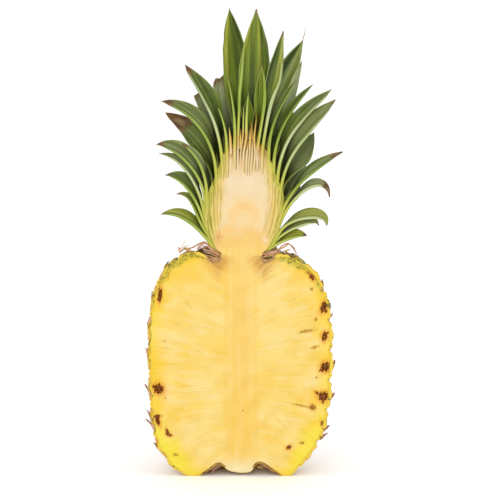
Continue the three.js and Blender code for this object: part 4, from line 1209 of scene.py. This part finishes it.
def youngPart(orange, setBack, leansBack, edges, seed):
    # a folded blade between its two edges: cut at the front, with two flanks that run back and
    # together; it comes out of the heart's face, and leans back along with the leaf behind it
    table, shape = np.array(edges), youngShape
    height = np.linspace(table[0, 0], table[-1, 0], shape["rows"] + 1)
    curves = [smoothProfile(np.stack([table[:, k], table[:, 0]], -1), shape["curveSteps"]) for k in (1, 2)]
    left, right = (np.interp(height, curve[:, 1], curve[:, 0]) for curve in curves)
    s = np.linspace(0, 1, shape["rows"] + 1)
    t = np.linspace(0, 1, shape["across"] + 1)
    half = (right - left) / 2 + 0.2 * (1 - smoothStep(height, height[0], height[0] + 11))
    half, middle = (half * (1 - 0.9 * s**14))[:, None], ((left + right) / 2)[:, None]
    depth = (shape["depth"][0] * (1 - s**1.6) + shape["depth"][1])[:, None]
    sunk = 0.5 * (1 - smoothStep(height, height[0], height[0] + 8)) - 0.16 + setBack
    sunk += leansBack * smoothStep(height, *shape["leansBack"])
    y = depth * t + sunk[:, None]
    y[:, 0] += 0.05 * ripple((height, 0 * height), 9, seed)
    tall = height[:, None] + 0 * t
    narrowed = half * (1 - 0.7 * t)
    loops = np.concatenate([np.stack([middle - narrowed, y, tall], -1)[:, ::-1],
                            np.stack([middle + narrowed, y, tall], -1)], 1)
    front = np.concatenate([t[::-1], t]) * depth
    fromExit = height[:, None] - shape["exit"]
    return tubePart(loops, {
        "u": loops[..., 0] - middle + front + seed, "v": height[:, None] + seed * 31.0, "fromExit": fromExit,
        "share": fromExit / shape["reach"], "frontEdge": front, "rearEdge": 9, "cut": 1,
        "under": np.r_[0 * t, 1 + 0 * t], "dry": -1, "paintedLight": 0, "outward": 0, "tint": 0.5, "pale": 0,
        "shaded": 1.2 + orange, "limy": 0,
    })


youngParts = [youngPart(*young, leafSeeds["young"] + k) for k, young in enumerate(youngLeaves)]
makePiece("young_leaves", joinParts(youngParts), leafMaterial)
print("young leaves made")


# dried scales on the rind
scale = {
    "halfWidth": 3.3,
    "below": 3.4,  # from the eye's middle down to its root, and up to its tip
    "above": 4.0,
    "lift": 1.3,
    "lifts": (0.4, 1.5),  # each one's own share of the lift
    "thick": 0.35,
    "rows": 7,
    "across": 4,
    "lowest": 0.02,  # it stays this far above the table, and behind the cut face
    "red": 0.15,
    "rimRed": 0.85,
    "rimAngle": 0.055,  # how far round from the cut face the scales beside it stand
    "rimSteps": slice(60, 480),  # the steps of the outline on which those stand
}
# scales beside the cut face: its side (0 right, 1 left), its height up the outline, and how far
# its tip stands out
rimScales = [
    (0, 76, 3), (0, 53.5, 2.8), (0, 26.5, 4), (0, 31.5, 3), (0, 108, 1.6), (0, 131, 1.4),
    (1, 59, 3.2), (1, 35.5, 4.2), (1, 41.5, 2.6), (1, 84, 1.4), (1, 110, 1.5), (1, 20, 1.8),
]


def scalePart(angle, length, lift, red):
    # a pointed flake that follows the rind and curls off it: s runs from its root to its tip and
    # t across it; its width falls with the square root of what is left, its tip lifts as s squared
    s = np.linspace(0, 1, scale["rows"] + 1)[:, None]
    t = np.linspace(-1, 1, scale["across"] + 1)[None, :]
    half = scale["halfWidth"] * np.sqrt(1 - 0.995 * s**1.5)
    up = -scale["below"] + (scale["below"] + scale["above"]) * s + 0 * t
    along = np.clip(length + up, 0, backLength[-1])
    step = np.interp(along, backLength, steps)
    radius, height = outlineAt(step, angle + 0 * step)
    around = angle + half * t / np.maximum(radius, 8)
    outR, outZ = outwardAt(step, around)
    relief = rindRelief(around, along, radius, height)[0]
    away = relief - 0.15 + lift * s**2 * (1 - 0.3 * t**2) + 0.25 * s

    def skin(offset):
        r, z = radius + (away + offset) * outR, np.maximum(height + (away + offset) * outZ, scale["lowest"])
        return np.stack([r * np.cos(around), r * np.sin(around), z], -1)

    loops = thereAndBack(skin(scale["thick"] * (1 - 0.6 * s)), skin(0 * s))
    loops[..., 1] = np.maximum(loops[..., 1], scale["lowest"])
    return tubePart(loops, {"u": thereAndBack(half * t) + 7 * angle, "v": up[:, :1] + length, "red": red,
                            "tip": s, "dark": 0})


driedTones = {"tan": "a87238", "tanPale": "e8c282", "rosy": "cc7e58", "rosyPale": "ffd8be", "patch": "7a5530",
              "tip": "5c3f26", "root": "e0ac62", "paintedShadeHollow": "3a300c", "scrap": "4c2410"}


def driedFinish():
    f = Finish("dried scale", driedTones)
    spot, fromMiddle = f.spot(), f.magnitude(f.millimetres(0))
    across, along = f.flow()
    red, tip, dark = map(f.field, ("red", "tip", "dark"))
    fibre = f.grain(across, along, 0.5, 6, 0.0, 3.0, 0.6)
    patch = f.noise(spot, 300.0, 2.0)
    tan = f.between(fibre, 0.35, 0.65, "tan", "tanPale")
    f.colour = f.mix(red, tan, f.between(fibre, 0.35, 0.65, "rosy", "rosyPale"))
    f.lay("patch", f.step(patch, 0.56, 0.7) * 0.3)
    f.lay("tip", f.step(tip + patch * 0.4, 0.8, 1.15) * (0.6 - red * 0.5))
    # the strips' roots about the neck take the colour of the flesh they come out of
    root = f.step(fromMiddle, 25, 16) * f.step(f.millimetres(2), 144, 147)
    f.lay("root", root * f.step(patch, 0.7, 0.4) * f.step(dark, 0.5, 0.1) * 0.75)
    # dark: painted shade on the strip behind the left neck strands, dark remnants on the scraps under the
    # base
    f.lay(f.mix(red, "paintedShadeHollow", "scrap"), dark)
    return f.surface({"Roughness": 0.6, "Specular IOR Level": 0.12, "Normal": f.bump(fibre, 0.0002, 0.6)})


driedMaterial = driedFinish()
draw = np.random.default_rng(41)
clear = (np.sin(eyeAngle) * eyeRadius > scale["halfWidth"] + 0.3) & (eyeAngle > 0) & (eyeAngle < np.pi)
flakes = [scalePart(angle, length, scale["lift"] * draw.uniform(*scale["lifts"]), scale["red"])
          for angle, length in zip(eyeAngle[clear], eyeLength[clear])]
for left, height, lift in rimScales:
    line = (leftLine if left else rightLine)[scale["rimSteps"], 1]
    length = np.interp(np.interp(height, line, steps[scale["rimSteps"]]), steps, backLength)
    angle = math.pi - scale["rimAngle"] if left else scale["rimAngle"]
    flakes.append(scalePart(angle, length, lift, scale["rimRed"]))
makePiece("scales", joinParts(flakes), driedMaterial)
print(len(flakes), "scales made")


# dried strips: leaf bases about the neck, scraps under the base
stripShape = {
    "across": 4,
    "turns": 0.6,  # how often its twist swings from side to side
    "curl": 0.35,
    "thick": 0.3,  # at most, and as a share of its width
    "lowest": 0.05,
    "led": (0.8, 0.5, 0.4),  # how far a strand leaves the path, and the shares at its root and in depth
    "strandWidth": (0.6, 1.2),
    "strandRed": (0.7, 1.2),
    "strandDark": (0, 0.16),
}


def strip(path, width, red=0.5, dark=0.0, twist=25, strands=1, rows=26):
    # path: x, y, z along it; red: how rosy; dark: how dark, as painted shade on the strip behind the left
    # neck strands and as dark remnants on the scraps under the base; twist: degrees to either side
    # strands: the number of finer copies that take its place; rows: steps along it
    return {"path": path, "width": width, "red": red, "dark": dark, "twist": twist, "strands": strands,
            "rows": rows}


strips = [
    strip([(-13.4, 1.2, 152), (-18.5, 0.6, 155.6), (-24.6, 0.9, 160), (-27.8, 1.2, 158.8), (-30, 2.5, 154.6)],
          0.9, 0.95, strands=7),
    strip([(-14.2, 0.5, 150.8), (-19.5, 0.3, 153.2), (-24.4, 1, 155.2), (-28, 2, 157.2), (-33.2, 2.2, 157.4)],
          0.7, 0.9, strands=3),
    # a dark strip behind the left neck strands: painted shade
    strip([(-20.5, 3, 151.6), (-25.5, 2.4, 154), (-31, 2.6, 153.8)], 6.4, 0, 0.95, 5),
    strip([(-19.6, 4.3, 151.2), (-25.3, 4, 154.3), (-31.6, 4.2, 153.8)], 6.8, 0.4, twist=5),
    strip([(-14.6, 0.6, 152.6), (-19.6, 0.5, 157.6), (-23.6, 0.6, 160.4), (-28.4, 0.8, 159.6),
           (-33.4, 1, 157.6)], 0.6, 0.5, 0.2, 20, rows=36),
    strip([(-13.2, 0.8, 149.6), (-17, 0.2, 149.9), (-21.5, 0.4, 150.6), (-26.4, 1.4, 153.2)],
          0.7, 0.7, strands=6),
    strip([(-13.4, 0.4, 148.6), (-16.6, 0.2, 147.6), (-20.4, 0.6, 148.2), (-24, 1.5, 149.4)],
          0.6, 0.3, strands=6),
    strip([(-24.2, 1.2, 161.6), (-29, 1, 159.6), (-33.2, 1, 157.2), (-38.4, 1.4, 156.2), (-41.6, 2, 154.4)],
          1.2, 0.25, twist=20),
    strip([(-33, 1.8, 153), (-35.6, 1.2, 155.8), (-38.2, 1.4, 156.4), (-41, 2.4, 153.6)], 2.6, 0.1, twist=20),
    strip([(-41, 1.6, 153.6), (-41.6, 1, 156), (-42.6, 0.8, 157.8)], 2.4, 0.8, twist=10),
    strip([(-41.2, 1, 156.2), (-38.6, 0.6, 160.4), (-35, 0.6, 165.2)], 0.5, 0.1, twist=5),
    strip([(-41.4, 1, 156.2), (-37, 0.8, 158.4), (-33, 0.8, 158.8)], 0.5, 0.2, twist=5),
    strip([(42.8, 48.4, 298.6), (44, 48.6, 302.2), (44.9, 48.6, 306), (45, 48.6, 309.4)], 0.6, 0.3, twist=5),
    strip([(14.2, 0.8, 152.6), (19.6, 0.4, 153.6), (24.6, 0.6, 153.4), (29, 1.4, 151.4)],
          0.9, 0.95, strands=7),
    strip([(14.4, 0.6, 150.6), (18.8, 0.3, 151.6), (23.8, 0.5, 152.4), (27.4, 1.2, 151.6)], 0.7, strands=6),
    strip([(26.6, 1.6, 152.2), (25.2, 0.8, 155.8), (28, 0.6, 158.6), (31.6, 0.6, 159.6), (35, 0.8, 157.6),
           (38, 1, 153.6), (39.6, 1.6, 150.4)], 1.3, 0.75, strands=2, rows=40),
    strip([(28.4, 1.8, 154.2), (31.6, 1.2, 155.4), (34.8, 1.2, 156.4)], 1.3, 0, twist=10),
    strip([(30, 1.6, 154.6), (34, 1.2, 152.2), (38.6, 1.4, 150.4)], 1.2, dark=0.7, twist=10),
    strip([(14.4, 0.4, 149.4), (17.6, 0.2, 148.4), (20.4, 0.6, 148.8)], 1.4, twist=20),
    strip([(-13, 2, 8.6), (-17.6, 1.2, 7.6), (-22.2, 1, 5.2), (-25.6, 1.6, 2.6)], 2.8, 0.9, 0.5, 20, 4),
    strip([(-15, 3, 7.2), (-18, 2, 4.4), (-20.4, 1.8, 1.4)], 2.2, 0.9, 0.5, 20, 3),
    strip([(12.6, 2, 8.4), (16.4, 1.2, 8), (20.6, 1.2, 4.6), (23.4, 1.8, 2)], 2.6, 0.9, 0.5, 20, 4),
    strip([(11, 0.8, 6.4), (13.6, 0.4, 5.6), (16.6, 0.5, 4.4)], 1, 0, twist=5),
]
# curled strips from the neck's foot, out over the shoulder, at turns round the crown in degrees
neckCurls = {
    "count": 17,
    "from": 22.0,
    "to": 160.0,
    "foot": (14.5, 151.5),  # radius and height
    "reach": (9.0, 19.0),
    "rise": (2.0, 7.0),
    "width": (1.6, 3.4),
    "red": (0.1, 0.9),
    "twist": 45,
    "aside": 0.5,  # how far its tip may lie to one side, in radians
    "clear": 0.16,  # no nearer to the cut face than this, in radians
}


def stripPart(ribbon, seed):
    # a thin curled strip along a path: its two faces lie half its thickness either side, and its
    # width swells from the root and narrows to the tip
    line = smoothProfile(ribbon["path"], ribbon["rows"])
    s = np.linspace(0, 1, ribbon["rows"] + 1)
    tangent = np.gradient(line, axis=0)
    tangent /= np.linalg.norm(tangent, axis=1)[:, None]
    aside = np.cross(tangent, np.array([0.0, -1.0, 0.0]))
    aside /= np.maximum(np.linalg.norm(aside, axis=1), 0.2)[:, None]
    normal = np.cross(aside, tangent)
    swing = np.sin(2 * np.pi * s * stripShape["turns"] + seed)
    twist = np.radians(ribbon["twist"] * swing)[:, None]
    wide = aside * np.cos(twist) + normal * np.sin(twist)
    flat = normal * np.cos(twist) - aside * np.sin(twist)
    half = (ribbon["width"] / 2 * (0.35 + 0.65 * np.sin(np.pi * s**0.7)) * (1 - 0.7 * s**3))[:, None]
    t = np.linspace(-1, 1, stripShape["across"] + 1)[None, :]
    curl = stripShape["curl"] * half * t**2
    thick = stripShape["thick"] * min(1, ribbon["width"]) * (1 - 0.5 * s)[:, None]
    middle = line[:, None] + (half * t)[..., None] * wide[:, None]
    faces = (middle + (curl + away)[..., None] * flat[:, None] for away in (thick / 2, -thick / 2))
    loops = thereAndBack(*faces)
    loops[..., 2] = np.maximum(loops[..., 2], stripShape["lowest"])
    return tubePart(loops, {"u": thereAndBack(half * t) + 9 * seed, "v": alongLength(line)[:, None],
                            "red": ribbon["red"], "tip": s[:, None], "dark": ribbon["dark"]})


def strandsOf(ribbon):  # finer copies of a strip, each led off its path by up to about a millimetre
    path, count = np.array(ribbon["path"]), ribbon["strands"]
    several = min(count - 1, 1)
    away, atRoot, inDepth = stripShape["led"]
    for _ in range(count):
        led = draw.normal(size=path.shape) * away * several
        led[0] *= atRoot
        led[:, 1] = np.abs(led[:, 1]) * inDepth
        width = ribbon["width"] * (draw.uniform(*stripShape["strandWidth"]) if several else 1)
        red = ribbon["red"] * draw.uniform(*stripShape["strandRed"])
        dark = ribbon["dark"] + draw.uniform(*stripShape["strandDark"]) * several
        yield {**ribbon, "path": path + led, "width": width, "red": red, "dark": dark}


def neckCurl(turn):  # one curled strip: it rises, bends a little aside and comes down on the shoulder
    reach, rise = draw.uniform(*neckCurls["reach"]), draw.uniform(*neckCurls["rise"])
    along = np.array([0.0, 0.3, 0.7, 1.0])
    foot, footHeight = neckCurls["foot"]
    radius = foot + reach * along
    aside, clear = draw.uniform(-neckCurls["aside"], neckCurls["aside"]), neckCurls["clear"]
    bend = np.clip(turn + aside * along**2, clear, math.pi - clear)
    height = footHeight + rise * np.array([0.0, 0.9, 1.0, 0.1]) + draw.uniform(-0.5, 0.8)
    path = np.stack([radius * np.cos(bend) + crown["foot"], radius * np.sin(bend), height], -1)
    width, red = draw.uniform(*neckCurls["width"]), draw.uniform(*neckCurls["red"])
    return strip(path, width, red, twist=neckCurls["twist"])


ribbons = [strand for ribbon in strips for strand in strandsOf(ribbon)]
turns = np.radians(np.linspace(neckCurls["from"], neckCurls["to"], neckCurls["count"]))
ribbons += [neckCurl(turn + draw.uniform(-0.06, 0.06)) for turn in turns]
stripParts = [stripPart(ribbon, k) for k, ribbon in enumerate(ribbons)]
makePiece("dried_strips", joinParts(stripParts), driedMaterial)
print(len(ribbons), "dried strips made")


# the stage, the light and the camera
stage = {"half": 40, "colour": (0.97, 0.97, 0.97, 1), "roughness": 0.9, "shine": 0.1}
sun = {"azimuth": -4, "elevation": 15, "spread": 40, "strength": 1.6}  # in degrees, and its strength
room = {"seen": 1.05, "lit": 1.08}  # how bright it looks, and how bright it lights the piece
camera = {"lens": 120.0, "distance": 1.132, "elevation": 4.5, "aimX": 6.2, "aimZ": 155.6}


def addObject(name, data):  # puts a mesh, a light or a camera into the scene
    made = bpy.data.objects.new(name, data)
    bpy.context.scene.collection.objects.link(made)
    return made


def stagePlane():  # a square table under the piece
    mesh, half = bpy.data.meshes.new("table"), stage["half"]
    corners = [(-half, -half, 0), (half, -half, 0), (half, half, 0), (-half, half, 0)]
    mesh.from_pydata(corners, [], [(0, 1, 2, 3)])
    f = Finish("table", {})
    f.colour = stage["colour"]
    mesh.materials.append(f.surface({"Roughness": stage["roughness"], "Specular IOR Level": stage["shine"]}))
    addObject("table", mesh)


def softSun(name):
    # light from far off: its azimuth to the camera's right, its elevation above the table
    light = bpy.data.lights.new(name, "SUN")
    light.angle, light.energy = math.radians(sun["spread"]), sun["strength"]
    lamp = addObject(name, light)
    lamp.rotation_euler = (math.radians(90 - sun["elevation"]), 0, math.radians(sun["azimuth"]))


def whiteRoom():
    # the backdrop looks a little darker to the camera than it lights the piece
    world = bpy.data.worlds.new("studio")
    world.use_nodes = True
    nodes, links = world.node_tree.nodes, world.node_tree.links
    path, level = nodes.new("ShaderNodeLightPath"), nodes.new("ShaderNodeMapRange")
    level.inputs["To Min"].default_value, level.inputs["To Max"].default_value = room["lit"], room["seen"]
    links.new(path.outputs["Is Camera Ray"], level.inputs["Value"])
    nodes["Background"].inputs["Color"].default_value = (1, 1, 1, 1)
    links.new(level.outputs["Result"], nodes["Background"].inputs["Strength"])
    bpy.context.scene.world = world


def addCamera():
    # the seat lies at the camera's distance from its aim: back by the cosine of its elevation
    # and up by the sine
    lens = bpy.data.cameras.new("camera")
    lens.lens = camera["lens"]
    seat = addObject("camera", lens)
    up = math.radians(camera["elevation"])
    aim = np.array([camera["aimX"], 0, camera["aimZ"]]) * perMm + origin
    seat.location = aim + camera["distance"] * np.array([0, -math.cos(up), math.sin(up)])
    seat.rotation_euler = (math.pi / 2 - up, 0, 0)
    bpy.context.scene.camera = seat


stagePlane()
softSun("front")
whiteRoom()
bpy.context.scene.view_settings.view_transform = "Standard"
addCamera()
print("stage, light and camera set")
